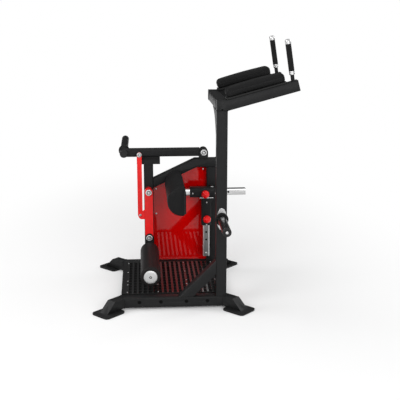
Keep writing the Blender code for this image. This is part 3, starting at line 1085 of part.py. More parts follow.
def build_adjuster():
    """Upright bar, carriage that slides on it, pad tube that slides in the carriage, pad and pull pins."""
    bar = finish("upright_bar",
                 tube_shape(((ADJUST_X, ADJUST_Y, UPRIGHT_BOTTOM), (ADJUST_X, ADJUST_Y, UPRIGHT_TOP)),
                            Y, BAR, BAR, BAR_WALL, corner=BAR_CORNER), STEEL,
                 at=(ADJUST_X, ADJUST_Y, UPRIGHT_BOTTOM))
    for number in range(UPRIGHT_HOLES):
        hole = rod_shape((ADJUST_X, ADJUST_Y - BAR / 2 - CUT_PAST, PIN_V_Z - number * HOLE_PITCH), Y,
                         CUT_PAST + 2 * BAR_WALL, HOLE_RADIUS, 16)
        cut(bar, finish("upright_hole", hole, STEEL))

    slide = make_empty("carriage_slide", (ADJUST_X, ADJUST_Y, UPRIGHT_SLEEVE_BOTTOM), STATION)
    origin = Vector((ADJUST_X, ADJUST_Y, UPRIGHT_SLEEVE_BOTTOM))
    wall = (HOUSING - BAR) / 2 - LINER_GAP
    body = finish("carriage",
                  tube_shape((origin, (ADJUST_X, ADJUST_Y, UPRIGHT_SLEEVE_TOP + WELD_BITE)),
                             Y, HOUSING, HOUSING, wall), BLACK, slide, at=origin)
    plate_x = ADJUST_X - CARRIAGE_PLATE_LENGTH / 2
    plate = box_shape((plate_x, HOUSING_NEAR, PLATE_Z0),
                      (plate_x + CARRIAGE_PLATE_LENGTH, HOUSING_FAR, CROSS_SLEEVE_Z0 + WELD_BITE))
    weld(body, finish("carriage_plate", plate, BLACK, slide, at=origin, smooth=False))
    ends = ((HOUSING_LEFT_X, ADJUST_Y, CROSS_SLEEVE_ZC), (HOUSING_RIGHT_X, ADJUST_Y, CROSS_SLEEVE_ZC))
    cross = tube_shape(ends, Y, HOUSING, HOUSING, wall)
    weld(body, finish("cross_sleeve", cross, BLACK, slide, at=origin))
    gusset_x = ADJUST_X + HOUSING / 2 - WELD_BITE
    gusset_top = PLATE_Z0 + WELD_BITE
    triangle = [(gusset_x, gusset_top - CARRIAGE_GUSSET), (gusset_x + CARRIAGE_GUSSET, gusset_top),
                (gusset_x, gusset_top)]
    gusset = prism_shape(triangle, (X, Z), -HOUSING_FAR, -HOUSING_FAR + CARRIAGE_PLATE)
    weld(body, finish("carriage_gusset", gusset, BLACK, slide, at=origin, smooth=False))
    screws = [(HOUSING_LEFT_X + CROSS_SCREW_IN, HOUSING_NEAR, CROSS_SLEEVE_ZC),
              (HOUSING_RIGHT_X - CROSS_SCREW_IN, HOUSING_NEAR, CROSS_SLEEVE_ZC),
              (ADJUST_X, HOUSING_NEAR, UPRIGHT_SLEEVE_BOTTOM + LOW_SCREW_IN),
              (ADJUST_X, HOUSING_NEAR, UPRIGHT_SLEEVE_TOP - HIGH_SCREW_IN)]
    for place in screws:
        head = turned_shape([(-WELD_BITE, 0), (-WELD_BITE, SMALL_SCREW_RADIUS),
                             (SMALL_SCREW_HEIGHT * 0.5, SMALL_SCREW_RADIUS),
                             (SMALL_SCREW_HEIGHT, SMALL_SCREW_RADIUS * 0.5), (SMALL_SCREW_HEIGHT, 0)],
                            place, -Y, 12)
        weld(body, finish("sleeve_screw", head, STEEL, slide, at=origin))
    clamp = turned_shape([(-WELD_BITE, 0), (-WELD_BITE, CLAMP_BOLT_RADIUS),
                          (CLAMP_BOLT_HEIGHT * 0.6, CLAMP_BOLT_RADIUS),
                          (CLAMP_BOLT_HEIGHT, CLAMP_BOLT_RADIUS * 0.6), (CLAMP_BOLT_HEIGHT, 0)],
                         (HOUSING_RIGHT_X - CLAMP_BOLT_IN, ADJUST_Y, CROSS_SLEEVE_Z0 + HOUSING), Z, 16)
    weld(body, finish("clamp_bolt", clamp, CHROME, slide, at=origin))

    pins = (("pull_pin_vertical", Vector((ADJUST_X, HOUSING_NEAR, PIN_V_Z))),
            ("pull_pin_horizontal", Vector((PIN_H_X, HOUSING_NEAR, CROSS_SLEEVE_ZC))))
    for name, mouth in pins:
        barrel = rod_shape(mouth + Y * WELD_BITE, -Y, PULL_HOUSING_LENGTH + WELD_BITE,
                           PULL_HOUSING_RADIUS, 20)
        weld(body, finish(f"{name}_barrel", barrel, BLACK, slide, at=origin))
        bore = rod_shape(mouth + Y * (wall + CUT_PAST), -Y, wall + PULL_HOUSING_LENGTH + 2 * CUT_PAST,
                         PULL_PIN_RADIUS + RUN_GAP, 20)
        cut(body, finish(f"{name}_bore", bore, BLACK, slide, at=origin))
        build_pull_pin(name, mouth, wall, slide, origin)

    build_pad_tube(slide, origin)


def build_pull_pin(name, mouth, wall, slide, origin):
    """Plunger with its red ball. Its tip ends flush with the sleeve's inner face, clear of the bar."""
    tip = mouth + Y * wall
    ball = mouth - Y * (PULL_HOUSING_LENGTH + BALL_STANDOFF + BALL_RADIUS * 0.92)
    axis = make_empty(f"{name}_slide", mouth - origin, slide)
    length = (tip - ball).length
    profile = [(0, 0), (0, PULL_PIN_RADIUS - EDGE), (EDGE, PULL_PIN_RADIUS), (length, PULL_PIN_RADIUS),
               (length, 0)]
    plunger = finish(name, turned_shape(profile, tip, -Y, 20), KNOB_RED, axis, at=mouth)
    round_ball = []
    steps = 14
    for step in range(steps + 1):
        angle = math.pi * step / steps
        radius = BALL_RADIUS * math.sin(angle) if 0 < step < steps else 0
        round_ball.append((-BALL_RADIUS * math.cos(angle), radius))
    weld(plunger, finish(f"{name}_ball", turned_shape(round_ball, ball, -Y, 24), KNOB_RED, axis, at=mouth))


def build_pad_tube(slide, origin):
    """Square tube through the carriage with the pad's plate and the D-shaped pad on its left end."""
    plate_left = THIGH_PAD_FACE_X + SEAT_GAP
    plate_right = plate_left + PAD_PLATE_THICKNESS
    tube_left = plate_right + SEAT_GAP
    start = Vector((tube_left, ADJUST_Y, CROSS_SLEEVE_ZC))
    axis = make_empty("pad_slide", start - origin, slide)
    tube = finish("pad_tube",
                  tube_shape((start, (PAD_TUBE_END_X, ADJUST_Y, CROSS_SLEEVE_ZC)), Y, BAR, BAR,
                             BAR_WALL, closed=(True, False), corner=BAR_CORNER), CHROME, axis, at=start)
    for number in range(PAD_TUBE_HOLES):
        hole = rod_shape((PIN_H_X + number * HOLE_PITCH, ADJUST_Y - BAR / 2 - CUT_PAST, CROSS_SLEEVE_ZC), Y,
                         CUT_PAST + 2 * BAR_WALL, HOLE_RADIUS, 16)
        cut(tube, finish("pad_tube_hole", hole, CHROME, axis, at=start))

    far = FRAME_NEAR - THIGH_PAD_FAR_GAP
    near = far - THIGH_PAD_LENGTH
    plate_bottom = CROSS_SLEEVE_ZC - BAR / 2 - PAD_PLATE_BELOW
    plate = box_shape((plate_left, near + PAD_PLATE_MARGIN, plate_bottom),
                      (plate_right, far - PAD_PLATE_FAR_MARGIN, plate_bottom + PAD_PLATE_HEIGHT))
    finish("pad_plate", plate, BLACK, axis, at=start, smooth=False)

    # D section: a short straight stretch beside the flat, then a half round.
    radius = THIGH_PAD_HEIGHT / 2
    straight = THIGH_PAD_DEPTH - radius
    bm = bmesh.new()
    rings = []
    edge = THIGH_PAD_EDGE
    stations = [(0, edge), (edge * 0.3, edge * 0.3), (edge, 0), (THIGH_PAD_LENGTH / 2, 0),
                (THIGH_PAD_LENGTH - edge, 0), (THIGH_PAD_LENGTH - edge * 0.3, edge * 0.3),
                (THIGH_PAD_LENGTH, edge)]
    for along, inset in stations:
        ring = [bm.verts.new((THIGH_PAD_FACE_X, near + along, THIGH_PAD_Z - radius + inset))]
        for step in range(25):
            angle = -math.pi / 2 - math.pi * step / 24
            ring.append(bm.verts.new((THIGH_PAD_FACE_X - straight + (radius - inset) * math.cos(angle),
                                      near + along,
                                      THIGH_PAD_Z + (radius - inset) * math.sin(angle))))
        ring.append(bm.verts.new((THIGH_PAD_FACE_X, near + along, THIGH_PAD_Z + radius - inset)))
        rings.append(ring)
    for low, high in zip(rings, rings[1:]):
        loop_faces(bm, low, high)
    bm.faces.new(rings[0][::-1])
    bm.faces.new(rings[-1])
    finish("thigh_pad", bm, VINYL, axis, at=start)


build_base()
build_mast()
build_shelf()
build_far_frame()
build_lever()
build_swing_arm()
build_adjuster()
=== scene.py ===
# %% [markdown]
# # Standing hamstring machine, dressed
#
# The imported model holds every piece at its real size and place. This lesson keeps that frame as it is
# and gives each piece the surface that the real machine shows: textured powder coat on the steel, a
# high gloss side panel, plated bolts, vinyl cushions, a foam roller and a slotted deck.
# The machine stands on z = 0. The user faces +X, and the camera looks along +Y.

# %% Load the frame
import json
import math

import bmesh
import bpy
import numpy as np
from mathutils import Matrix, Vector


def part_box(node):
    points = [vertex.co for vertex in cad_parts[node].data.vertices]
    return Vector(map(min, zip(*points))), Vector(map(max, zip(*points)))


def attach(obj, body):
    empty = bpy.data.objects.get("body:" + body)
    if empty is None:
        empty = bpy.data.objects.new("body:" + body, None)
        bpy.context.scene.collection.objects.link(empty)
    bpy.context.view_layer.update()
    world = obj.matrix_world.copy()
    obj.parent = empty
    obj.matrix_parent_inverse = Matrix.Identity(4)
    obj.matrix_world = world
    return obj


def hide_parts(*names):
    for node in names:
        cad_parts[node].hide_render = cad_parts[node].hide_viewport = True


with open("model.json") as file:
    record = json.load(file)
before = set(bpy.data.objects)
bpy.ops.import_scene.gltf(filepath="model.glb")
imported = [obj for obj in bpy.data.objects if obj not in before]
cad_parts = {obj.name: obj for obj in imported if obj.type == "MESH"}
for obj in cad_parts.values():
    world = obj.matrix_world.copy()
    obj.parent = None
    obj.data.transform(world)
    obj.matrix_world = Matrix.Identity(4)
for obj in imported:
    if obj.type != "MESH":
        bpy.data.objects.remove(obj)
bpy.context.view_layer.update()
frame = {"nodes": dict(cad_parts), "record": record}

nodes = frame["nodes"]
body_of = {node: body for body, members in frame["record"]["behaviour"]["bodies"].items()
           for node in members}
slot_of = {entry["node"]: entry["material_slot"] for entry in frame["record"]["subparts"]}
X, Y, Z = Vector((1, 0, 0)), Vector((0, 1, 0)), Vector((0, 0, 1))

# %% [markdown]
# The camera stands where the photograph was taken from: a little left of the machine, about 4.6 m in
# front of it and at head height, with a long lens. Its numbers were fitted to edges of the steel frame.

# %% Camera
CAMERA_PLACE = Vector((-0.2771, -4.6947, 1.6735))
CAMERA_PITCH = math.radians(13.7438)      # below the horizon
CAMERA_YAW = math.radians(4.1719)         # to the right of +Y
CAMERA_LENS = 70.79                       # mm on a 36 mm sensor

camera_data = bpy.data.cameras.new("studio_camera")
camera_data.lens = CAMERA_LENS
camera_data.sensor_width = 36
camera_data.clip_end = 60
camera = bpy.data.objects.new("studio_camera", camera_data)
camera.location = CAMERA_PLACE
camera.rotation_euler = (math.pi / 2 - CAMERA_PITCH, 0, -CAMERA_YAW)
bpy.context.scene.collection.objects.link(camera)
bpy.context.scene.camera = camera
bpy.context.scene.view_settings.view_transform = "Standard"
print("camera at", tuple(round(value, 3) for value in camera.location))

# %% [markdown]
# A material, and a tree of geometry nodes too, is a graph of boxes and wires. To write one as readably as
# a formula, a Wire stands for the output of a box, and sums and products of wires add the Math boxes. A
# Pen adds any other box: its settings first, then the values or wires of its inputs.

# %% A pen for node trees
def plug(tree, target, value):
    """Gives an input a wire, or a plain value."""
    if isinstance(value, Wire):
        tree.links.new(value.socket, target)
    else:
        target.default_value = value


class Wire:
    """An output in a node tree that can be worked with like a number."""

    def __init__(self, tree, socket):
        self.tree = tree
        self.socket = socket

    def math(self, operation, first, second=None):
        box = self.tree.nodes.new("ShaderNodeMath")
        box.operation = operation
        plug(self.tree, box.inputs[0], first)
        if second is not None:
            plug(self.tree, box.inputs[1], second)
        return Wire(self.tree, box.outputs[0])

    def __add__(self, other):
        return self.math("ADD", self, other)

    def __sub__(self, other):
        return self.math("SUBTRACT", self, other)

    def __rsub__(self, other):
        return self.math("SUBTRACT", other, self)

    def __mul__(self, other):
        return self.math("MULTIPLY", self, other)

    def __truediv__(self, other):
        return self.math("DIVIDE", self, other)

    def __rtruediv__(self, other):
        return self.math("DIVIDE", other, self)

    def __pow__(self, other):
        return self.math("POWER", self, other)

    __radd__ = __add__
    __rmul__ = __mul__

    def floor(self):
        return self.math("FLOOR", self)

    def least(self, other):
        return self.math("MINIMUM", self, other)

    def most(self, other):
        return self.math("MAXIMUM", self, other)

    def sibling(self, output):
        """Another output of the same box."""
        return Wire(self.tree, self.socket.node.outputs[output])

    def between(self, low, high):
        """0 below low, 1 above high, a smooth step between them."""
        box = self.tree.nodes.new("ShaderNodeMapRange")
        box.interpolation_type = "SMOOTHSTEP"
        plug(self.tree, box.inputs["Value"], self)
        plug(self.tree, box.inputs["From Min"], low)
        plug(self.tree, box.inputs["From Max"], high)
        return Wire(self.tree, box.outputs["Result"])


class Pen:
    """Adds boxes to one tree."""

    def __init__(self, tree):
        self.tree = tree

    def box(self, kind, settings=None, inputs=None, output=0):
        """A box of a kind: settings first, then its inputs, and the wire of one output."""
        made = self.tree.nodes.new(kind)
        for key, value in (settings or {}).items():
            setattr(made, key, value)
        for key, value in (inputs or {}).items():
            plug(self.tree, made.inputs[key], value)
        return Wire(self.tree, made.outputs[output])

    def noise(self, place, scale, detail=2.0, roughness=0.5):
        """Soft noise from 0 to 1 whose features are about 1 / scale metres across."""
        return self.box("ShaderNodeTexNoise",
                        inputs={"Vector": place, "Scale": scale, "Detail": detail, "Roughness": roughness})

    def stretch(self, place, scale):
        """A place scaled along each axis, for streaks."""
        return self.box("ShaderNodeMapping", inputs={"Vector": place, "Scale": scale})

    def blend(self, factor, first, second):
        """A colour between two colours."""
        return self.box("ShaderNodeMix", {"data_type": "RGBA"}, {0: factor, 6: first, 7: second}, output=2)

    def bump(self, height, distance, strength=1.0, normal=None):
        """A normal for a height from 0 to 1 that stands for a distance in metres."""
        inputs = {"Height": height, "Distance": distance, "Strength": strength}
        if normal is not None:
            inputs["Normal"] = normal
        return self.box("ShaderNodeBump", inputs=inputs)


def grey(level):
    return (level, level, level, 1)


def new_finish(name, **constants):
    """A material, the pen for its tree, its shader, and the place of the shaded point in metres."""
    material = bpy.data.materials.new(name)
    material.use_nodes = True
    shader = material.node_tree.nodes["Principled BSDF"]
    for key, value in constants.items():
        shader.inputs[key.replace("_", " ")].default_value = value
    pen = Pen(material.node_tree)
    place = pen.box("ShaderNodeTexCoord", output="Object")
    return material, pen, shader, place


print("pen ready")

# %% [markdown]
# Most of the machine is steel tube under baked powder. Powder flows a little as it bakes, so its gloss
# sits on a fine orange peel about a millimetre across, and on broad faces the gloss drifts slightly.
# A flat colour would look like plastic. Here a fine noise drives the bump and a slow one the roughness,
# and thin spots of the coat show as a slightly darker tint.

# %% Powder coats
PEEL_SIZE = 0.0011
PEEL_HEIGHT = 0.00006


def powder_coat(name, colour, roughness, specular):
    """Baked powder of a colour and a roughness."""
    material, pen, shader, place = new_finish(name, Specular_IOR_Level=specular)
    peel = pen.noise(place, 1 / PEEL_SIZE, detail=2.5)
    drift = pen.noise(place, 7.0, detail=3.0)
    cloud = pen.noise(place, 28.0, detail=4.0, roughness=0.6)
    thin = tuple(part * 0.82 for part in colour)
    tint = drift.between(0.3, 0.7) * 0.6 + cloud.between(0.4, 0.7) * 0.4
    plug(pen.tree, shader.inputs["Base Color"], pen.blend(tint, (*colour, 1), (*thin, 1)))
    plug(pen.tree, shader.inputs["Roughness"], roughness + (drift - 0.5) * 0.10 + (peel - 0.5) * 0.08)
    plug(pen.tree, shader.inputs["Normal"], pen.bump(peel, PEEL_HEIGHT))
    return material


BLACK_COAT = powder_coat("black_powder_coat", (0.0130, 0.0132, 0.0135), 0.38, 0.10)
RED_COAT = powder_coat("red_powder_coat", (0.70, 0.009, 0.009), 0.30, 0.26)
SHEET_COAT = powder_coat("deck_sheet_coat", (0.0140, 0.0140, 0.0143), 0.46, 0.09)
print("powder coats:", BLACK_COAT.name, RED_COAT.name, SHEET_COAT.name)

# %% [markdown]
# The side panel is sheet steel sprayed in deep red and cleared until it mirrors the deck. Sheet metal is
# never quite flat, so a slow, shallow wave bends its reflections. A clear coat over the colour gives the
# sharp mirror, and constants such as the coat's roughness stay on the shader itself.

# %% Gloss panel
def gloss_panel():
    material, pen, shader, place = new_finish("red_gloss_panel", Roughness=0.45, Coat_Weight=0.72,
                                              Coat_Roughness=0.02, Specular_IOR_Level=0.0)
    wave = pen.noise(place, 3.2, detail=1.0)
    flake = pen.noise(place, 1400.0, detail=1.0)
    colour = pen.blend(flake.between(0.35, 0.8) * 0.25, (0.51, 0.0008, 0.0008, 1), (0.57, 0.002, 0.002, 1))
    plug(pen.tree, shader.inputs["Base Color"], colour)
    plug(pen.tree, shader.inputs["Normal"], pen.bump(wave, 0.0005, 0.2))
    return material


PANEL_RED = gloss_panel()

# %% [markdown]
# Bolts, rings and the pad's tube are plated. Plating copies the steel under it, so faint turning or
# drawing lines stay, and fingers leave soft cloudy patches that only the roughness shows. The tube that
# the carriage slides on is bare drawn steel: duller, with long streaks, and a highlight painted lighter
# along its long corners.

# %% Plated and drawn steel
def plated(name, level, roughness, lines, painted_corner_highlight=None):
    """Bright plating. lines are the scales of its fine marks along X, Y and Z. The last argument is (middle,
    half, level): a highlight painted along a tube's long corners, from its middle and half width in X, and its
    brightness."""
    material, pen, shader, place = new_finish(name, Metallic=1.0)
    marks = pen.noise(pen.stretch(place, lines), 1.0, detail=3.0)
    cloud = pen.noise(place, 60.0, detail=3.0)
    colour = pen.blend(marks.between(0.25, 0.75) * 0.6, grey(level * 0.90), grey(level))
    # Painted highlight: lighter colour along a tube's long corners.
    if painted_corner_highlight:
        middle, half, bright = painted_corner_highlight
        across = pen.box("ShaderNodeSeparateXYZ", inputs={0: place})
        side = across.sibling("X") - middle
        corner = (side * side).between((half * 0.62) ** 2, (half * 0.80) ** 2)
        colour = pen.blend(corner, colour, grey(bright))
    plug(pen.tree, shader.inputs["Base Color"], colour)
    plug(pen.tree, shader.inputs["Roughness"], roughness + (cloud - 0.5) * 0.08 + (marks - 0.5) * 0.06)
    plug(pen.tree, shader.inputs["Normal"], pen.bump(marks, 0.00002, 0.5))
    return material


CHROME = plated("chrome", 0.58, 0.22, (500.0, 500.0, 500.0))
TUBE_CHROME = plated("tube_chrome", 0.60, 0.20, (18.0, 900.0, 900.0))
bar_low, bar_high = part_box("upright_bar")
DRAWN_STEEL = plated("drawn_steel", 0.30, 0.34, (1100.0, 1100.0, 9.0),
                     ((bar_low.x + bar_high.x) / 2, (bar_high.x - bar_low.x) / 2, 0.80))
PEG_STEEL = plated("peg_steel", 0.15, 0.28, (900.0, 14.0, 900.0))
ZINC = plated("bright_zinc", 0.56, 0.36, (420.0, 420.0, 420.0))
print("metals:", [m.name for m in (CHROME, TUBE_CHROME, DRAWN_STEEL, PEG_STEEL, ZINC)])

# %% [markdown]
# Rubber, moulded plastic and the red balls are small, but close to the hand. Moulded plastic has a spark
# eroded grain, rubber is duller and a little greyed, and the balls are polished, with a faint lighter haze
# at random like the rest.

# %% Rubber and plastics
def moulded(name, colour, roughness, grain, depth, specular=0.4):
    """A moulded surface with a grain of a size and depth in metres."""
    material, pen, shader, place = new_finish(name, Specular_IOR_Level=specular)
    pits = pen.noise(place, 1 / grain, detail=3.0)
    haze = pen.noise(place, 22.0, detail=3.0)
    plug(pen.tree, shader.inputs["Base Color"],
         pen.blend(haze.between(0.3, 0.8) * 0.5, (*colour, 1), (*[c * 1.35 for c in colour], 1)))
    plug(pen.tree, shader.inputs["Roughness"], roughness + (haze - 0.5) * 0.14)
    plug(pen.tree, shader.inputs["Normal"], pen.bump(pits, depth))
    return material


RUBBER = moulded("black_rubber", (0.010, 0.010, 0.010), 0.70, 0.0007, 0.00008, 0.07)
PLASTIC = moulded("black_plastic", (0.010, 0.010, 0.010), 0.42, 0.0009, 0.00005, 0.2)
BALL_RED = moulded("red_plastic", (0.62, 0.004, 0.005), 0.20, 0.0040, 0.00002, 0.3)
# Painted shade: a near black finish for the insides of holes, recesses and tubes, where shade falls.
PAINTED_HOLE_SHADE = moulded("painted_hole_shade", (0.0035, 0.0035, 0.0035), 0.80, 0.0010, 0.00006, 0.05)
# Painted shade: the near black of the deck's pan, seen through the pockets where shade falls under the deck.
POCKET_SHADE = moulded("painted_pocket_shade", (0.0050, 0.0050, 0.0050), 0.85, 0.0012, 0.00030, 0.05)
BOARD = moulded("painted_board", (0.010, 0.010, 0.010), 0.65, 0.0016, 0.00008, 0.2)

# %% [markdown]
# Cushions wear upholstery vinyl: cast on paper with a leather print. The print is a net of cells about
# 1.3 mm across with fine creases between them, which a Voronoi texture gives, broken up by noise, and the
# creases are painted darker as shade. The roller's foam skin is softer and duller, with closed pores whose
# darker colour is painted shade too.

# %% Vinyl and foam
def vinyl(name, colour):
    material, pen, shader, place = new_finish(name, Specular_IOR_Level=0.05)
    warp = pen.noise(place, 260.0, detail=2.0, roughness=0.6)
    cell = pen.box("ShaderNodeTexVoronoi", {"feature": "DISTANCE_TO_EDGE"},
                   {"Vector": place, "Scale": 760.0, "Randomness": 1.0})
    crease = cell.between(0.0, 0.16)
    print_height = crease * 0.75 + warp * 0.25
    rub = pen.noise(place, 11.0, detail=4.0)
    # Painted shade: the creases of the grain are darker in colour.
    plug(pen.tree, shader.inputs["Base Color"],
         pen.blend(crease, (*[c * 0.6 for c in colour], 1), (*colour, 1)))
    plug(pen.tree, shader.inputs["Roughness"], 0.50 + (rub - 0.5) * 0.16 - crease * 0.06)
    plug(pen.tree, shader.inputs["Normal"], pen.bump(print_height, 0.00012, 0.8))
    return material


def foam(name, colour):
    material, pen, shader, place = new_finish(name, Specular_IOR_Level=0.05)
    pore = pen.box("ShaderNodeTexVoronoi", {"feature": "F1"}, {"Vector": place, "Scale": 900.0})
    pits = pore.between(0.05, 0.55)
    rub = pen.noise(place, 14.0, detail=4.0)
    # Painted shade: the pores are darker in colour.
    plug(pen.tree, shader.inputs["Base Color"],
         pen.blend(pits, (*[c * 0.7 for c in colour], 1), (*colour, 1)))
    plug(pen.tree, shader.inputs["Roughness"], 0.46 + (rub - 0.5) * 0.14)
    plug(pen.tree, shader.inputs["Normal"], pen.bump(pits * 0.6 + rub * 0.4, 0.00010, 0.7))
    return material


VINYL = vinyl("black_vinyl", (0.0115, 0.0115, 0.0117))
FOAM = foam("roller_foam", (0.0135, 0.0120, 0.0120))
THREAD = moulded("seam_thread", (0.020, 0.020, 0.020), 0.60, 0.0004, 0.00004)
print("soft finishes:", VINYL.name, FOAM.name)

# %% [markdown]
# A piece of steel from the frame has the right shape already, but its edges are ideal knife edges, and
# no light ever catches them. Each rigid node is therefore copied, its loose triangles are merged, and
# a small bevel goes round its edges, which is what a press brake and a coat of powder leave.
# The copy rides on the node's body and stands for the node.

# %% Dress a rigid node
SOFT_EDGE = math.radians(30)


def join(piece, body, slot_name, *stands_for):
    """Hands a finished piece to the frame."""
    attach(piece, body)
    if stands_for:
        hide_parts(*stands_for)
    return piece


def merged_copy(node):
    """The node's mesh as a bmesh with shared corners and no needless edges."""
    bm = bmesh.new()
    bm.from_mesh(nodes[node].data)
    bmesh.ops.remove_doubles(bm, verts=bm.verts, dist=0.00001)
    bmesh.ops.dissolve_limit(bm, angle_limit=math.radians(0.5), verts=bm.verts, edges=bm.edges)
    return bm


def make_piece(name, bm, *materials, sharp=SOFT_EDGE):
    """A bmesh as a shown object at the origin."""
    mesh = bpy.data.meshes.new(name)
    bm.to_mesh(mesh)
    bm.free()
    for material in materials:
        mesh.materials.append(material)
    mesh.shade_smooth()
    mesh.set_sharp_from_angle(angle=sharp)
    piece = bpy.data.objects.new(name, mesh)
    bpy.context.scene.collection.objects.link(piece)
    return piece


def baked(piece):
    """The same piece with its modifiers turned into plain mesh."""
    graph = bpy.context.evaluated_depsgraph_get()
    mesh = bpy.data.meshes.new_from_object(piece.evaluated_get(graph))
    piece.modifiers.clear()
    piece.data = mesh
    return piece


def dress(node, material, edge=0.0008):
    """A copy of a node with soft edges, in its finish."""
    piece = make_piece(f"{node}_dressed", merged_copy(node), material, sharp=math.radians(50))
    if edge:
        bevel = piece.modifiers.new("edge", "BEVEL")
        bevel.width = edge
        bevel.segments = 2
        bevel.limit_method = "ANGLE"
        bevel.angle_limit = math.radians(50)
        bevel.harden_normals = True
        baked(piece)
    return join(piece, body_of[node], slot_of[node], node)


STEEL_NODES = ["base_rail_near", "base_rail_far", "foot_near_left", "foot_near_right", "foot_far_left",
               "foot_far_right", "crossbar_1", "crossbar_2", "crossbar_3", "crossbar_4", "mast",
               "mast_brace", "shelf_crossbar", "shelf_rail_near", "shelf_rail_far", "shelf_gusset",
               "post_left", "post_right", "top_tube", "lever_bracket", "weight_lever", "roller_carrier",
               "pad_plate", "carriage"]
for node in STEEL_NODES:
    dress(node, BLACK_COAT)
for node in ("swing_arm", "link"):
    dress(node, RED_COAT)
dress("side_panel", PANEL_RED, edge=0.0005)


def darken_inside(piece, material):
    """Gives the inner faces of a square tube and its holes a second finish, which paints their shade."""
    corners = [corner.co for corner in piece.data.vertices]
    low = Vector([min(corner[axis] for corner in corners) for axis in range(3)])
    high = Vector([max(corner[axis] for corner in corners) for axis in range(3)])
    piece.data.materials.append(material)
    inside = 0
    for face in piece.data.polygons:
        across = [axis for axis in range(3) if (high - low)[axis] < 0.06]
        depth = min(min(face.center[axis] - low[axis], high[axis] - face.center[axis]) for axis in across)
        if depth > 0.0006 and abs(face.normal[[axis for axis in range(3) if axis not in across][0]]) < 0.999:
            face.material_index = 1
            inside += 1
    return inside


for node, material in (("pad_tube", TUBE_CHROME), ("upright_bar", DRAWN_STEEL)):
    print(node, "inner faces:", darken_inside(dress(node, material, edge=0.0005), PAINTED_HOLE_SHADE))
dress("peg_flange", CHROME, edge=0.0015)
dress("stop_bumper", RUBBER, edge=0.0012)
for node in ("arm_pad_board_near", "arm_pad_board_far"):
    dress(node, BOARD, edge=0.0012)
print("dressed nodes:", len(STEEL_NODES) + 9)

# %% [markdown]
# Bolts, caps, sleeves, grips and the roller are turned on a lathe. In the frame they have flat sides,
# so each is turned again with many more, from the place, length and radius measured on its node.
# A profile is a list of (distance along the axis, radius).

# %% Turn a round piece
def span(node, axis):
    """The first point on a round node's axis, its length and its radius."""
    axis = axis.normalized()
    across = axis.orthogonal().normalized()
    other = axis.cross(across)
    corners = np.array([corner.co for corner in nodes[node].data.vertices])
    along, first, second = (corners @ np.array(way) for way in (axis, across, other))
    middle = across * ((first.max() + first.min()) / 2) + other * ((second.max() + second.min()) / 2)
    radius = np.hypot(first - middle.dot(across), second - middle.dot(other)).max()
    return axis * along.min() + middle, along.max() - along.min(), radius


def lathe(start, axis, profile, sides=96, finishes=()):
    """A profile turned about an axis. Equal first and last points make a ring, a radius of 0 a pole.
    finishes gives the material number of each stretch of the profile."""
    axis = axis.normalized()
    across = axis.orthogonal().normalized()
    other = axis.cross(across)
    ring_like = profile[0] == profile[-1]
    bm = bmesh.new()
    rings = []
    for along, radius in profile[:-1] if ring_like else profile:
        middle = Vector(start) + axis * along
        turns = [2 * math.pi * step / sides for step in range(sides if radius else 1)]
        rings.append([bm.verts.new(middle + (across * math.cos(t) + other * math.sin(t)) * radius)
                      for t in turns])
    pairs = list(zip(rings, rings[1:]))
    if ring_like:
        pairs.append((rings[-1], rings[0]))
    for stretch, (low, high) in enumerate(pairs):
        for step in range(sides):
            after = (step + 1) % sides
            corners = [low[step % len(low)], low[after % len(low)],
                       high[after % len(high)], high[step % len(high)]]
            face = bm.faces.new(list(dict.fromkeys(corners)))
            if finishes:
                face.material_index = finishes[stretch]
    bmesh.ops.recalc_face_normals(bm, faces=bm.faces)
    return bm


def rounded(profile, radius, steps=4):
    """A profile whose sharp corners are rounded, as a turning tool or a mould leaves them."""
    closed = profile[0] == profile[-1]
    points = [Vector(point) for point in profile]
    out = []
    last = len(points) - 1
    for index, point in enumerate(points):
        on_axis = point.y == 0
        if on_axis or (index in (0, last) and not closed):
            out.append(tuple(point))
            continue
        if index == last:
            out.append(out[0])
            continue
        before = points[index - 1] if index else points[-2]
        after = points[index + 1]
        back, on = before - point, after - point
        if abs(back.normalized().cross(on.normalized())) < 0.2:
            out.append(tuple(point))
            continue
        reach = min(radius, back.length * 0.45, on.length * 0.45)
        first, second = point + back.normalized() * reach, point + on.normalized() * reach
        for step in range(steps + 1):
            t = step / steps
            out.append(tuple(first * (1 - t) ** 2 + point * (2 * t * (1 - t)) + second * t ** 2))
    return out


def turned(name, node, axis, profile, *materials, sides=96, finishes=(), edge=0.0006, start=None):
    """A turned piece that stands for a node."""
    if start is None:
        start = span(node, axis)[0]
    shape = profile if finishes else rounded(profile, edge)
    piece = make_piece(name, lathe(start, axis, shape, sides, finishes), *materials)
    return join(piece, body_of[node], slot_of[node], node)


print("lathe ready")

# %% [markdown]
# A bolt's head is a button on a flat washer, with a recess between them painted dark as shade, and a small
# hexagon socket.
# A socket is a cut, so it is made with a Boolean: the cutter is a short six sided bar that sinks in.

# %% Cut a hexagon socket
def cut_socket(piece, mouth, axis, across_flats, depth):
    """Sinks a hexagon into a piece: mouth is on its face, and the axis points out of the face."""
    reach = across_flats / math.sqrt(3)
    bar = [(0, 0), (0, reach), (depth * 3, reach), (depth * 3, 0)]
    cutter = make_piece("socket_cutter", lathe(mouth - axis * depth, axis, bar, sides=6))
    cut = piece.modifiers.new("socket", "BOOLEAN")
    cut.operation = "DIFFERENCE"
    cut.solver = "EXACT"
    cut.object = cutter
    baked(piece)
    bpy.data.objects.remove(cutter)
    piece.data.shade_smooth()
    piece.data.set_sharp_from_angle(angle=SOFT_EDGE)
    return piece


def bolt_head(radius, height, pin_radius):
    """A bolt's head from its face inwards: a button, a recess round it painted dark as shade, and a flat
    washer.
    """
    profile = [(0, 0), (0, 0.36), (0.08, 0.42), (0.50, 0.44), (0.50, 0.58), (0.28, 0.61), (0.24, 0.66),
               (0.26, 0.88), (0.34, 0.97), (0.46, 1.0), (1.0, 1.0)]
    points = [(along * height, out * radius) for along, out in profile] + [(height, pin_radius)]
    return points, [0, 0, 1, 1, 1, 0, 0, 0, 0, 0, 0]


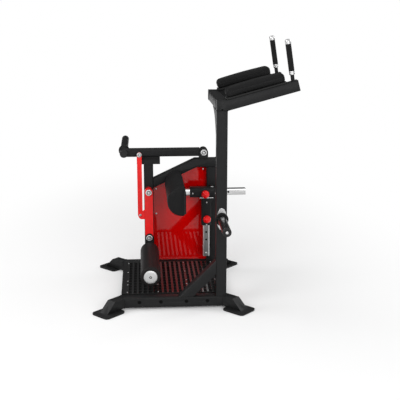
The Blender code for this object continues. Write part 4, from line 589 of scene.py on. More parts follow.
def bolt(node, head_height, pin_radius, nut_height=0.0, nut_radius=0.014, spacer=None):
    """A bolt along +Y, its head at the near end. spacer is (start, end, radius), a nut is hexagonal."""
    start, length, radius = span(node, Y)
    radius = (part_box(node)[1].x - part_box(node)[0].x) / 2
    profile, finishes = bolt_head(radius, head_height, pin_radius)
    if spacer:
        first, last, wide = spacer
        profile += [(first, pin_radius), (first, wide), (last, wide), (last, pin_radius)]
    profile += [(length, pin_radius), (length, 0)]
    finishes += [0] * (len(profile) - 1 - len(finishes))
    piece = turned(f"{node}_turned", node, Y, profile, ZINC, PAINTED_HOLE_SHADE, finishes=finishes)
    cut_socket(piece, start, -Y, radius * 0.24, head_height * 0.50)
    if nut_height:
        nut = lathe(start + Y * (length - nut_height), Y,
                    [(0, pin_radius * 0.9), (0, nut_radius), (nut_height * 0.86, nut_radius),
                     (nut_height * 0.98, nut_radius * 0.90), (nut_height * 0.98, pin_radius * 0.9),
                     (0, pin_radius * 0.9)], sides=6)
        join(make_piece(f"{node}_nut", nut, ZINC), body_of[node], slot_of[node])
    return piece


PIN_RADIUS = 0.0100
HEAD_HEIGHT = 0.0100
NUT_HEIGHT = 0.0090
knee_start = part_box("knee_bolt")[0].y
bolt("knee_bolt", HEAD_HEIGHT, PIN_RADIUS, NUT_HEIGHT,
     spacer=(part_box("swing_arm")[1].y + 0.0006 - knee_start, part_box("post_left")[0].y - 0.0006 - knee_start,
             0.014))
bolt("lever_pivot_bolt", HEAD_HEIGHT, PIN_RADIUS, NUT_HEIGHT)
bolt("carrier_bolt", HEAD_HEIGHT, PIN_RADIUS)
bolt("link_lower_bolt", 0.006, 0.006)
upper_start, upper_length, upper_radius = span("link_upper_bolt", Y)
link_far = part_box("link")[1].y + 0.0005 - upper_start.y
profile, finishes = bolt_head(upper_radius, 0.008, 0.006)
profile += [(link_far, 0.006), (link_far, upper_radius * 0.8), (upper_length, upper_radius * 0.8),
            (upper_length, 0)]
upper = turned("link_upper_bolt_turned", "link_upper_bolt", Y, profile, ZINC, PAINTED_HOLE_SHADE,
               finishes=finishes + [0] * (len(profile) - 1 - len(finishes)))
cut_socket(upper, upper_start, -Y, upper_radius * 0.24, 0.004)
print("bolts turned: 5")

# %% [markdown]
# The caps and sleeves close the tubes. Moulded caps have a rounded rim and a shallow ring on the face,
# the steel peg keeps a polished skin, and its cap is held by one bolt. The handles are a rod, a plated
# ring, a ribbed rubber grip and a plated cap on one leaning axis.

# %% Caps, sleeves and the peg
def cap_profile(length, radius, rim=0.18, dish=0.0012):
    """A cap from its seat outwards: rounded rim, then a face that is dished inside a ring."""
    face = length
    return [(0, 0), (0, radius * 0.97), (0.0004, radius), (length - rim * radius, radius),
            (length - rim * radius * 0.35, radius * (1 - rim * 0.28)), (face, radius * (1 - rim)),
            (face, radius * 0.66), (face - dish, radius * 0.60), (face - dish, 0)]


for node, axis in (("sleeve_end_cap", Y), ("lever_end_cap", -Y)):
    start, length, radius = span(node, axis)
    turned(f"{node}_turned", node, axis, cap_profile(length, radius), PLASTIC, edge=0.0008)

start, length, radius = span("plate_sleeve", Y)
SLEEVE_RADIUS = 0.0245
COLLAR = 0.010
turned("plate_sleeve_turned", "plate_sleeve", Y,
       [(0, 0), (0, radius), (COLLAR, radius), (COLLAR, SLEEVE_RADIUS), (length, SLEEVE_RADIUS),
        (length, SLEEVE_RADIUS - 0.003), (0.012, SLEEVE_RADIUS - 0.003), (0.012, 0)], BLACK_COAT, edge=0.0015)

start, length, radius = span("peg_disc", -Y)
turned("peg_disc_turned", "peg_disc", -Y,
       [(0, 0.0248), (0, radius), (length, radius), (length, 0.0248), (0, 0.0248)], RUBBER, edge=0.0028)
start, length, radius = span("peg", -Y)
turned("peg_turned", "peg", -Y,
       [(0, 0), (0, radius), (length, radius), (length, radius - 0.003), (0.003, radius - 0.003), (0.003, 0)],
       PEG_STEEL)
start, length, radius = span("peg_cap", -Y)
turned("peg_cap_turned", "peg_cap", -Y, cap_profile(length, radius, rim=0.20, dish=0.0016), PLASTIC,
       edge=0.0008)
PEG_CAP_FACE = start - Y * (length - 0.0016)
CAP_BOLT_HEIGHT = 0.0015
cap_bolt_profile = [(0, 0), (0, 0.0078), (0.0007, 0.0078), (0.0007, 0.0064), (0.0012, 0.0040),
                    (CAP_BOLT_HEIGHT, 0)]
cap_bolt = make_piece("peg_cap_bolt", lathe(PEG_CAP_FACE, -Y, rounded(cap_bolt_profile, 0.0003)), CHROME)
join(cut_socket(cap_bolt, PEG_CAP_FACE - Y * CAP_BOLT_HEIGHT, -Y, 0.0050, 0.0012), "frame", "chrome")

# The cap's central recess takes the painted hole shade.
start, length, radius = span("roller_cap", -Y)
turned("roller_cap_turned", "roller_cap", -Y,
       [(0, 0), (0, radius), (length * 0.34, radius), (length * 0.58, radius * 0.975),
        (length * 0.76, radius * 0.88), (length * 0.88, radius * 0.68), (length * 0.955, radius * 0.42),
        (length * 0.985, radius * 0.20), (length * 0.80, radius * 0.18), (length * 0.80, radius * 0.12),
        (length * 0.99, radius * 0.10), (length, 0)], ZINC, PAINTED_HOLE_SHADE,
       finishes=[0] * 7 + [1, 1, 1] + [0], edge=0.0004)
print("caps, sleeves and peg turned")

# %% Handles
HANDLE_LEAN = math.radians(9)
HANDLE_AXIS = Vector((-math.sin(HANDLE_LEAN), 0, math.cos(HANDLE_LEAN)))
for side in ("near", "far"):
    start, length, radius = span(f"handle_rod_{side}", HANDLE_AXIS)
    turned(f"handle_rod_{side}_turned", f"handle_rod_{side}", HANDLE_AXIS,
           [(0, 0), (0, radius), (length, radius), (length, 0)], BLACK_COAT)
    bore = radius + 0.0003
    start, length, radius = span(f"handle_ring_{side}", HANDLE_AXIS)
    turned(f"handle_ring_{side}_turned", f"handle_ring_{side}", HANDLE_AXIS,
           [(0, bore), (0, radius), (length * 0.42, radius), (length * 0.47, radius * 0.955),
            (length * 0.53, radius * 0.955), (length * 0.58, radius), (length, radius), (length, bore),
            (0, bore)], CHROME, edge=0.0012)
    start, length, radius = span(f"handle_grip_{side}", HANDLE_AXIS)
    ribs = 40
    grip = lathe(start, HANDLE_AXIS, rounded(
        [(0, bore), (0, radius), (length * 0.03, radius)] +
        [(length * (0.03 + 0.94 * step / 24), radius) for step in range(1, 25)] +
        [(length, radius), (length, bore), (0, bore)], 0.0012), sides=ribs * 4)
    for corner in grip.verts:
        along = (corner.co - start).dot(HANDLE_AXIS)
        out = corner.co - start - HANDLE_AXIS * along
        inside = min(1.0, max(0.0, (min(along, length - along) - 0.004) / 0.002))
        if out.length > radius * 0.98:
            turn = math.atan2(out.dot(Y), out.dot(HANDLE_AXIS.cross(Y)))
            corner.co -= out.normalized() * (0.00055 * inside * (0.5 - 0.5 * math.cos(turn * ribs)))
    piece = make_piece(f"handle_grip_{side}_ribbed", grip, RUBBER)
    join(piece, "frame", "black_rubber", f"handle_grip_{side}")
    start, length, radius = span(f"handle_cap_{side}", HANDLE_AXIS)
    turned(f"handle_cap_{side}_turned", f"handle_cap_{side}", HANDLE_AXIS,
           [(0, 0), (0, radius), (length * 0.56, radius), (length * 0.72, radius * 0.965),
            (length * 0.86, radius * 0.85), (length * 0.95, radius * 0.66), (length * 0.99, radius * 0.40),
            (length, radius * 0.2), (length, 0)], CHROME, edge=0.0010)
print("handles: rod, ring, grip with", ribs, "ribs, cap")

# %% [markdown]
# Each pull pin is a plated plunger with a red ball, and a plated barrel on the carriage guides it.
# The barrel has no node of its own, so a thin turned shell covers the frame's barrel.

# %% Pull pins
BARREL_RADIUS = 0.0110
BALL_RADIUS = 0.0245
SLEEVE_GAP, SLEEVE_DEPTH = 0.0125, 0.060  # from the right post to the sleeve, and through the sleeve
SLEEVE_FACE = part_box("post_right")[0].y - SLEEVE_GAP - SLEEVE_DEPTH      # where the barrels start
for name in ("vertical", "horizontal"):
    node = f"pull_pin_{name}"
    low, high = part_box(node)
    centre = Vector(((low.x + high.x) / 2, 0, (low.z + high.z) / 2))
    plunger_length = high.y - low.y - 2 * BALL_RADIUS
    profile = [(0, 0), (0, 0.0045), (0.0015, 0.006), (plunger_length + 0.002, 0.006),
               (plunger_length + 0.0026, 0.0085)]
    finishes = [0, 0, 0, 0]
    for step in range(1, 24):
        angle = math.radians(20 + 160 * step / 24)
        profile.append((plunger_length + BALL_RADIUS * (1 - math.cos(angle)), BALL_RADIUS * math.sin(angle)))
        finishes.append(1)
    profile.append((plunger_length + 2 * BALL_RADIUS, 0))
    finishes.append(1)
    turned(f"{node}_turned", node, -Y, profile, CHROME, BALL_RED, finishes=finishes,
           start=centre + Y * high.y)
print("pull pins turned")
for name in ("vertical", "horizontal"):
    low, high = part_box(f"pull_pin_{name}")
    mouth = Vector(((low.x + high.x) / 2, SLEEVE_FACE, (low.z + high.z) / 2))
    inner, outer, collar = BARREL_RADIUS + 0.0001, BARREL_RADIUS + 0.0007, BARREL_RADIUS + 0.0024
    shell = [(0.0, inner), (0.0, collar), (0.0030, collar), (0.0034, outer), (0.0195, outer),
             (0.0222, BARREL_RADIUS - 0.001), (0.0224, 0.0072), (0.0221, 0.0072), (0.0221, inner),
             (0.0, inner)]
    barrel = make_piece(f"pin_barrel_{name}", lathe(mouth, -Y, shell), CHROME)
    join(barrel, "carriage", "chrome")
print("barrels at y =", round(SLEEVE_FACE, 4))

# %% [markdown]
# The same few things come back all over the frame: a bead where two tubes are welded, small screws,
# stitches along a seam, strips on the deck. Each is one tree of geometry nodes that puts a small shape on
# points, or sweeps it along a path. A tree's result is turned into plain mesh at once.

# %% Geometry node trees
def new_tree(name, inputs):
    """A tree with Geometry and named inputs. Gives the tree, its pen and the wires of its inputs."""
    tree = bpy.data.node_groups.new(name, "GeometryNodeTree")
    tree.interface.new_socket("Geometry", in_out="INPUT", socket_type="NodeSocketGeometry")
    for title, kind in inputs:
        tree.interface.new_socket(title, in_out="INPUT", socket_type=f"NodeSocket{kind}")
    tree.interface.new_socket("Geometry", in_out="OUTPUT", socket_type="NodeSocketGeometry")
    entry = tree.nodes.new("NodeGroupInput")
    wires = {socket.name: Wire(tree, socket) for socket in entry.outputs if socket.name}
    return tree, Pen(tree), wires


def end_tree(tree, pen, geometry, material):
    """Makes the instances real, gives them their material and closes the tree."""
    real = pen.box("GeometryNodeRealizeInstances", inputs={"Geometry": geometry})
    coated = pen.box("GeometryNodeSetMaterial", inputs={"Geometry": real, "Material": material})
    leave = tree.nodes.new("NodeGroupOutput")
    tree.links.new(coated.socket, leave.inputs[0])
    return tree


def grow(name, tree, carrier, values, body, slot_name, *stands_for, sharp=SOFT_EDGE):
    """Runs a tree on a carrier mesh and hands its result to the frame as one piece."""
    carrier_object = bpy.data.objects.new(f"{name}_carrier", carrier)
    bpy.context.scene.collection.objects.link(carrier_object)
    modifier = carrier_object.modifiers.new(name, "NODES")
    modifier.node_group = tree
    for item in tree.interface.items_tree:
        if item.in_out == "INPUT" and item.name in values:
            modifier[item.identifier] = values[item.name]
    graph = bpy.context.evaluated_depsgraph_get()
    mesh = bpy.data.meshes.new_from_object(carrier_object.evaluated_get(graph))
    bpy.data.objects.remove(carrier_object)
    mesh.name = name
    mesh.shade_smooth()
    mesh.set_sharp_from_angle(angle=sharp)
    piece = bpy.data.objects.new(name, mesh)
    bpy.context.scene.collection.objects.link(piece)
    join(piece, body, slot_name, *stands_for)
    print(name, "faces:", len(mesh.polygons))
    return piece


def path_mesh(paths):
    """Edges through lists of points. A path whose last point is its first is closed."""
    corners, edges = [], []
    for path in paths:
        closed = (Vector(path[0]) - Vector(path[-1])).length < 0.00001
        points = path[:-1] if closed else path
        first = len(corners)
        corners += [tuple(point) for point in points]
        edges += [(first + step, first + step + 1) for step in range(len(points) - 1)]
        if closed:
            edges.append((first + len(points) - 1, first))
    mesh = bpy.data.meshes.new("paths")
    mesh.from_pydata(corners, edges, [])
    return mesh


def rippled_bead_tree():
    """A bead along a path, with the ripple that a welding torch leaves."""
    tree, pen, wires = new_tree("rippled_bead", [("Radius", "Float"), ("Ripple", "Float"),
                                                 ("Depth", "Float"), ("Material", "Material")])
    curve = pen.box("GeometryNodeMeshToCurve", inputs={"Mesh": wires["Geometry"]})
    step = wires["Ripple"] / 3
    dense = pen.box("GeometryNodeResampleCurve", {"mode": "LENGTH"}, {"Curve": curve, "Length": step})
    index = pen.box("GeometryNodeInputIndex")
    phase = index / 3 - (index / 3).floor()
    jitter = pen.box("ShaderNodeTexWhiteNoise", {"noise_dimensions": "1D"}, {"W": (index / 3).floor()})
    size = 1 - wires["Depth"] * phase - wires["Depth"] * 0.5 * jitter
    sized = pen.box("GeometryNodeSetCurveRadius", inputs={"Curve": dense, "Radius": size})
    ring = pen.box("GeometryNodeCurvePrimitiveCircle", {"mode": "RADIUS"},
                   {"Resolution": 7, "Radius": wires["Radius"]})
    swept = pen.box("GeometryNodeCurveToMesh",
                    inputs={"Curve": sized, "Profile Curve": ring, "Fill Caps": True})
    return end_tree(tree, pen, swept, wires["Material"])


BEAD_TREE = rippled_bead_tree()
print("tree:", BEAD_TREE.name)

# %% [markdown]
# Each tube ends in a clean saw cut and is welded all round. The frame's own corners tell where: the
# corners furthest along one direction are the cut, and their outline is the weld's path.

# %% Weld beads
def end_loop(node, direction, grow_by=0.0004):
    """The closed outline of a tube's cut end, the end that lies furthest along a direction."""
    direction = Vector(direction).normalized()
    across = direction.orthogonal().normalized()
    other = direction.cross(across)
    corners = [corner.co for corner in nodes[node].data.vertices]
    reach = max(corner.dot(direction) for corner in corners)
    end = sorted({(round(corner.dot(across), 5), round(corner.dot(other), 5)) for corner in corners
                  if corner.dot(direction) > reach - 0.0002})

    def half(points):
        """One half of a convex outline."""
        chain = []
        for point in points:
            while len(chain) > 1:
                (ax, ay), (bx, by) = chain[-2], chain[-1]
                if (bx - ax) * (point[1] - ay) - (by - ay) * (point[0] - ax) > 0:
                    break
                chain.pop()
            chain.append(point)
        return chain[:-1]

    outline = half(end) + half(end[::-1])
    middle = sum((Vector(point) for point in outline), Vector((0, 0))) / len(outline)
    loop = []
    for point in outline:
        wide = Vector(point) + (Vector(point) - middle).normalized() * grow_by
        loop.append(across * wide.x + other * wide.y + direction * (reach + 0.0002))
    return loop + [loop[0]]


MITRE = Vector((math.cos(math.radians(22.5)), math.sin(math.radians(22.5)), 0))
weld_loops = [
    end_loop("mast", -Z), end_loop("mast", Z), end_loop("mast_brace", -Z), end_loop("mast_brace", X),
    end_loop("shelf_crossbar", -Y), end_loop("shelf_crossbar", Y), end_loop("post_left", -Z),
    end_loop("post_right", -Z), end_loop("top_tube", -Z), end_loop("top_tube", X),
    end_loop("foot_near_left", MITRE), end_loop("foot_near_right", (-MITRE.x, MITRE.y, 0)),
    end_loop("foot_far_left", (MITRE.x, -MITRE.y, 0)), end_loop("foot_far_right", -MITRE)]
WELD = {"Radius": 0.0019, "Ripple": 0.0030, "Depth": 0.22, "Material": BLACK_COAT}
grow("frame_welds", BEAD_TREE, path_mesh(weld_loops), WELD, "frame", "black_powder_coat")
print("weld loops:", len(weld_loops))

# %% [markdown]
# The deck is a slotted sheet on a closed pan, with raised anti-slip strips. The pan is coloured near
# black, painted shade seen through the slots. Its rule is simple: a column of long pockets, a smooth
# strip, a column of pockets, eighteen times. The sheet grows from a grid: two grid lines bound each
# slot, so a line's number alone says where it lies and which faces are cut away.

# %% The slotted sheet
STRIP_FIRST = -0.5045                     # first strip's middle, from the mast's left face
STRIP_PITCH = 0.0291
STRIP_COUNT = 19
STRIP_WIDTH = 0.0135
SLOT_LENGTH = 0.0416
SLOT_PITCH = 0.0471
SLOT_ROWS = 12
SLOT_FIRST = 0.0845                       # near end of the first slot, from the near rail's face
SHEET_DROP = 0.0015                       # the sheet lies this far under the strips' tops
STATION = Vector((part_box("mast")[0].x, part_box("base_rail_near")[0].y, 0))
deck_low, deck_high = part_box("deck")
FOLD_Y = STATION.y + 0.0783


def slotted_sheet_tree():
    """A grid whose lines are moved to the slots' edges, and whose slot faces are deleted."""
    tree, pen, wires = new_tree("slotted_sheet", [
        ("Columns", "Int"), ("Rows", "Int"), ("Column Pitch", "Float"), ("Row Pitch", "Float"),
        ("Slot Width", "Float"), ("Slot Length", "Float"), ("First Slot", "Vector"),
        ("Low Corner", "Vector"), ("High Corner", "Vector"), ("Material", "Material")])
    columns, rows = wires["Columns"], wires["Rows"]
    lines_x, lines_y = columns * 2 + 2, rows * 2 + 2
    grid = pen.box("GeometryNodeMeshGrid", inputs={"Vertices X": lines_x, "Vertices Y": lines_y})
    index = pen.box("GeometryNodeInputIndex")
    line_x = ((index + 0.5) / lines_y).floor()
    line_y = index - line_x * lines_y
    low = pen.box("ShaderNodeSeparateXYZ", inputs={0: wires["Low Corner"]})
    high = pen.box("ShaderNodeSeparateXYZ", inputs={0: wires["High Corner"]})
    first = pen.box("ShaderNodeSeparateXYZ", inputs={0: wires["First Slot"]})

    def edge_of(line, count, pitch, width, axis):
        """Where a grid line goes: the border lines to the sheet's edge, the others to a slot's edge."""
        start, end, slot = (corner.sibling(axis) for corner in (low, high, first))
        number = ((line - 1) / 2).floor()
        odd = line - 1 - number * 2
        place = slot + number * pitch + odd * width
        at_first = 1 - line.least(1)
        at_last = 1 - (count * 2 + 1 - line).least(1)
        return place * (1 - at_first) * (1 - at_last) + start * at_first + end * at_last

    x = edge_of(line_x, columns, wires["Column Pitch"], wires["Slot Width"], 0)
    y = edge_of(line_y, rows, wires["Row Pitch"], wires["Slot Length"], 1)
    z = low.sibling(2)
    place = pen.box("ShaderNodeCombineXYZ", inputs={"X": x, "Y": y, "Z": z})
    spread = pen.box("GeometryNodeSetPosition", inputs={"Geometry": grid, "Position": place})
    faces_y = lines_y - 1
    face_x = ((index + 0.5) / faces_y).floor()
    face_y = index - face_x * faces_y
    cut = (face_x - (face_x / 2).floor() * 2) * (face_y - (face_y / 2).floor() * 2)
    holed = pen.box("GeometryNodeDeleteGeometry", {"domain": "FACE"},
                    {"Geometry": spread, "Selection": cut})
    return end_tree(tree, pen, holed, wires["Material"])


def carrier_point():
    mesh = bpy.data.meshes.new("point")
    mesh.from_pydata([(0, 0, 0)], [], [])
    return mesh


first_slot = Vector((STATION.x + STRIP_FIRST + STRIP_WIDTH / 2, STATION.y + SLOT_FIRST, 0))
sheet_z = deck_high.z - SHEET_DROP
sheet = grow("deck_sheet", slotted_sheet_tree(), carrier_point(), {
    "Columns": STRIP_COUNT - 1, "Rows": SLOT_ROWS, "Column Pitch": STRIP_PITCH, "Row Pitch": SLOT_PITCH,
    "Slot Width": STRIP_PITCH - STRIP_WIDTH, "Slot Length": SLOT_LENGTH, "First Slot": first_slot,
    "Low Corner": Vector((deck_low.x, FOLD_Y, sheet_z)),
    "High Corner": Vector((deck_high.x, deck_high.y, sheet_z)),
    "Material": SHEET_COAT}, "frame", "black_powder_coat", "deck")
wall = sheet.modifiers.new("thickness", "SOLIDIFY")
wall.thickness = 0.0015
wall.offset = -1
baked(sheet)
sheet.data.shade_flat()
print("pockets:", (STRIP_COUNT - 1) * SLOT_ROWS)

# %% [markdown]
# The strips lie on the sheet between the slot columns, long bars with rounded ends. One bar is
# modelled, and a second tree sets it on a line of points. Their level faces are shaded flat, because
# smooth shading over such large faces would bend what the panel mirrors.

# %% Strips, fold and screws
STRIP_NEAR, STRIP_FAR = 0.082, 0.6500


def strip_coat():
    """Smooth, glossy enamel, worn dull and grey along the middle by soles."""
    material, pen, shader, place = new_finish("strip_enamel", Specular_IOR_Level=0.85)
    scuff = pen.noise(pen.stretch(place, (60.0, 9.0, 1.0)), 1.0, detail=5.0, roughness=0.65)
    cloud = pen.noise(place, 5.0, detail=2.0)
    worn = scuff.between(0.45, 0.75) * cloud.between(0.35, 0.65)
    plug(pen.tree, shader.inputs["Base Color"], pen.blend(worn, grey(0.018), grey(0.028)))
    plug(pen.tree, shader.inputs["Roughness"], 0.11 + worn * 0.06)
    plug(pen.tree, shader.inputs["Normal"], pen.bump(scuff, 0.00002, 0.4))
    return material


STRIP_COAT = strip_coat()


def strip_outline(width, low, high, steps=8):
    """The outline of a bar along Y with half round ends."""
    reach = width / 2
    ends = []
    for middle, first in ((high - reach, 0), (low + reach, math.pi)):
        ends += [(reach * math.cos(first + math.pi * step / steps),
                  middle + reach * math.sin(first + math.pi * step / steps)) for step in range(steps + 1)]
    return ends


def flat_tops(piece):
    """Level faces shaded flat: smooth shading would bend their reflections from edge to edge."""
    for face in piece.data.polygons:
        face.use_smooth = abs(face.normal.z) < 0.999
    return piece


def flat_bar(name, outline, low, high, material, edge):
    """A flat outline in X and Y between two heights, its top edge rounded."""
    bm = bmesh.new()
    floor = [bm.verts.new((x, y, low)) for x, y in outline]
    bm.faces.new(floor)
    made = bmesh.ops.extrude_face_region(bm, geom=bm.faces[:])
    roof = [item for item in made["geom"] if isinstance(item, bmesh.types.BMVert)]
    bmesh.ops.translate(bm, verts=roof, vec=(0, 0, high - low))
    bmesh.ops.recalc_face_normals(bm, faces=bm.faces)
    top = [item for item in bm.edges if all(corner.co.z > (low + high) / 2 for corner in item.verts)]
    bmesh.ops.bevel(bm, geom=top, offset=edge, segments=2, affect="EDGES", profile=0.5)
    return flat_tops(make_piece(name, bm, material, sharp=math.radians(60)))


def row_tree(name):
    """Sets one shape on each point of the carrier."""
    tree, pen, wires = new_tree(name, [("Shape", "Object"), ("Material", "Material")])
    shape = pen.box("GeometryNodeObjectInfo", {"transform_space": "ORIGINAL"}, {"Object": wires["Shape"]},
                    output="Geometry")
    placed = pen.box("GeometryNodeInstanceOnPoints", inputs={"Points": wires["Geometry"], "Instance": shape})
    return end_tree(tree, pen, placed, wires["Material"])


ROW_TREE = row_tree("shapes_on_points")


def points_mesh(points):
    mesh = bpy.data.meshes.new("points")
    mesh.from_pydata([tuple(point) for point in points], [], [])
    return mesh


bar = flat_bar("strip_shape", strip_outline(STRIP_WIDTH, STRIP_NEAR, STRIP_FAR), -SHEET_DROP + 0.0002, 0,
               STRIP_COAT, 0.0007)
strip_places = [STATION + Vector((STRIP_FIRST + STRIP_PITCH * number, 0, deck_high.z))
                for number in range(STRIP_COUNT)]
flat_tops(grow("deck_strips", ROW_TREE, points_mesh(strip_places), {"Shape": bar, "Material": STRIP_COAT},
               "frame", "black_powder_coat"))
bpy.data.objects.remove(bar)

PAN_UNDER, PAN_TOP = 0.0032, 0.0018       # how far the pan's two faces lie below sheet_z
pan_outline = [(deck_low.x, FOLD_Y), (deck_high.x, FOLD_Y), (deck_high.x, deck_high.y),
               (deck_low.x, deck_high.y)]
# The pan under the slots is painted near black as the shade seen through the pockets.
pan = flat_bar("deck_pan", pan_outline, sheet_z - PAN_UNDER, sheet_z - PAN_TOP, POCKET_SHADE, 0.0002)
join(pan, "frame", "black_powder_coat")

fold = bmesh.new()
near_y, lip_z, thick = deck_low.y, deck_low.z, 0.003
section = [(near_y, lip_z), (near_y, lip_z + thick), (FOLD_Y - thick, lip_z + thick),
           (FOLD_Y - thick, sheet_z), (FOLD_Y, sheet_z), (FOLD_Y, lip_z)]
left = [fold.verts.new((deck_low.x, y, z)) for y, z in section]
fold.faces.new(left)
made = bmesh.ops.extrude_face_region(fold, geom=fold.faces[:])
bmesh.ops.translate(fold, verts=[item for item in made["geom"] if isinstance(item, bmesh.types.BMVert)],
                    vec=(deck_high.x - deck_low.x, 0, 0))
bmesh.ops.recalc_face_normals(fold, faces=fold.faces)
join(make_piece("deck_fold", fold, BLACK_COAT), "frame", "black_powder_coat")


def screw_shape(radius, height):
    """A small domed screw head on z = 0 with a socket, pointing up."""
    head = make_piece("screw_shape", lathe(Vector((0, 0, 0)), Z, [
        (0, 0), (0, radius), (height * 0.45, radius), (height * 0.8, radius * 0.82),
        (height, radius * 0.5), (height, 0)], sides=20), ZINC)
    return cut_socket(head, Vector((0, 0, height)), Z, radius * 0.75, height * 0.5)


SCREW_COLUMNS = (-0.5064, -0.3297, -0.1545, 0.0200)
SCREW_ROWS = (0.1008, 0.2254, 0.2909, 0.4535, 0.6262)
SCREWS = ("00", "10", "01", "11", "21", "02", "22", "32", "03", "23", "04", "24", "34")
screw_places = [STATION + Vector((SCREW_COLUMNS[int(code[0])], SCREW_ROWS[int(code[1])],
                                  deck_high.z - 0.0002)) for code in SCREWS]
deck_screw = screw_shape(0.0050, 0.0018)
grow("deck_screws", ROW_TREE, points_mesh(screw_places), {"Shape": deck_screw, "Material": ZINC},
     "frame", "chrome")
bpy.data.objects.remove(deck_screw)
print("strips:", STRIP_COUNT, "screws:", len(SCREWS))

# %% [markdown]
# The same screw, in other sizes and facing other ways, holds the panel to its tabs and the sleeves'
# liners, and sits deep in four holes of the near rail, its head coloured with painted shade. Points carry
# only a place, so a screw that faces -Y is turned before the tree copies it. The cell also adds the panel's
# lower lip and the rubber seal along its right edge, the bright edge of the carriage's plate, the round
# head of its clamp bolt, and a thin disc of painted shade for a small hole in the shelf's near face.

# %% Screws on upright faces
def at(x, y, z):
    """A point given from the mast's left face, the near rail's face and the floor."""
    return STATION + Vector((x, y, z))


def upright_screws(name, radius, height, points, body, material, slot_name):
    screw = screw_shape(radius, height)
    screw.data.transform(Matrix.Rotation(math.pi / 2, 4, "X"))
    piece = grow(name, ROW_TREE, points_mesh(points), {"Shape": screw, "Material": material}, body, slot_name)
    bpy.data.objects.remove(screw)
    return piece


PANEL_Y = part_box("side_panel")[0].y - STATION.y
panel_low, panel_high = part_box("side_panel")
lip_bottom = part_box("base_rail_far")[1].z + 0.0001
lip = flat_bar("panel_lip", [(panel_low.x, panel_low.y - 0.014), (panel_high.x, panel_low.y - 0.014),
                             (panel_high.x, panel_high.y + 0.0004), (panel_low.x, panel_high.y + 0.0004)],
               lip_bottom, panel_low.z + 0.0012, PANEL_RED, 0.0006)
join(lip, "frame", "red_gloss_panel")
panel_points = [at(-0.3240, PANEL_Y, z) for z in (0.150, 0.378, 0.542)]
panel_points += [at(-0.0200, PANEL_Y, z) for z in (0.150, 0.420, 0.668)]
upright_screws("panel_screws", 0.0062, 0.0024, panel_points, "frame", ZINC, "chrome")
rail_points = [at(x, 0.0, 0.0440) for x in (-0.437, -0.315, -0.169, -0.049)]
# Their heads take the painted hole shade: the darkness of the holes they sit in is painted on them.
upright_screws("rail_screws", 0.0100, 0.0034, rail_points, "frame", PAINTED_HOLE_SHADE, "black_plastic")
SLEEVE_NEAR = SLEEVE_FACE - STATION.y
sleeve_points = [at(-0.0957, SLEEVE_NEAR, 0.5404), at(0.0483, SLEEVE_NEAR, 0.5404),
                 at(-0.0080, SLEEVE_NEAR, 0.3364), at(-0.0080, SLEEVE_NEAR, 0.4824)]
upright_screws("sleeve_screws", 0.0045, 0.0024, sleeve_points, "carriage", ZINC, "chrome")

edge_low, edge_high = at(-0.0510, SLEEVE_NEAR - 0.0012, 0.5100), at(0.0350, SLEEVE_NEAR - 0.0003, 0.5136)
plate_edge = flat_bar("plate_edge", [(edge_low.x, edge_low.y), (edge_high.x, edge_low.y),
                                     (edge_high.x, edge_high.y), (edge_low.x, edge_high.y)],
                      edge_low.z, edge_high.z, TUBE_CHROME, 0.0002)
join(plate_edge, "carriage", "chrome")
clamp_foot = at(0.0283, 0.620, 0.5704)
clamp_profile = [(0, 0), (0, 0.0108), (0.0036, 0.0108), (0.0072, 0.0096), (0.0102, 0.0070),
                 (0.0122, 0.0036), (0.0128, 0)]
clamp = make_piece("clamp_bolt", lathe(clamp_foot, Z, rounded(clamp_profile, 0.0006)), ZINC)
join(clamp, "carriage", "chrome")
upright_fix = at(-0.0080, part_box("upright_bar")[0].y - STATION.y, 0.1389)
upright_screws("upright_bolt", 0.0072, 0.0034, [upright_fix], "frame", ZINC, "chrome")
SEAL_WIDTH, SEAL_THICKNESS, SEAL_SHORTER = 0.0034, 0.0012, 0.01
seal_middle = (panel_high.x - 0.0013, panel_high.y + 0.0007, (panel_low.z + panel_high.z) / 2)
seal_size = (SEAL_WIDTH, SEAL_THICKNESS, panel_high.z - panel_low.z - SEAL_SHORTER, 1)
seal = bmesh.new()
bmesh.ops.create_cube(seal, size=1, matrix=Matrix.Translation(seal_middle) @ Matrix.Diagonal(seal_size))
join(make_piece("panel_seal", seal, RUBBER), "frame", "black_rubber")
# A thin disc of painted shade stands for the dark of a small hole in the shelf's near face.
shelf_hole = at(0.0300, 0.0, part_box("mast")[1].z - STATION.z + 0.0080)
upright_screws("shelf_plug", 0.0052, 0.0006, [shelf_hole], "frame", PAINTED_HOLE_SHADE, "black_plastic")
print("upright screws:", len(panel_points) + len(rail_points) + len(sleeve_points) + 1)

# %% [markdown]
# Upholstery: plywood, foam, and vinyl drawn over it. The foam pushes the skin out between its edges, so
# flat faces crown and corners round off. The skin is inflated a little in a cloth simulation, with gravity
# off and with a cap on how far a point may go, and then its underside is pressed flat against the board.

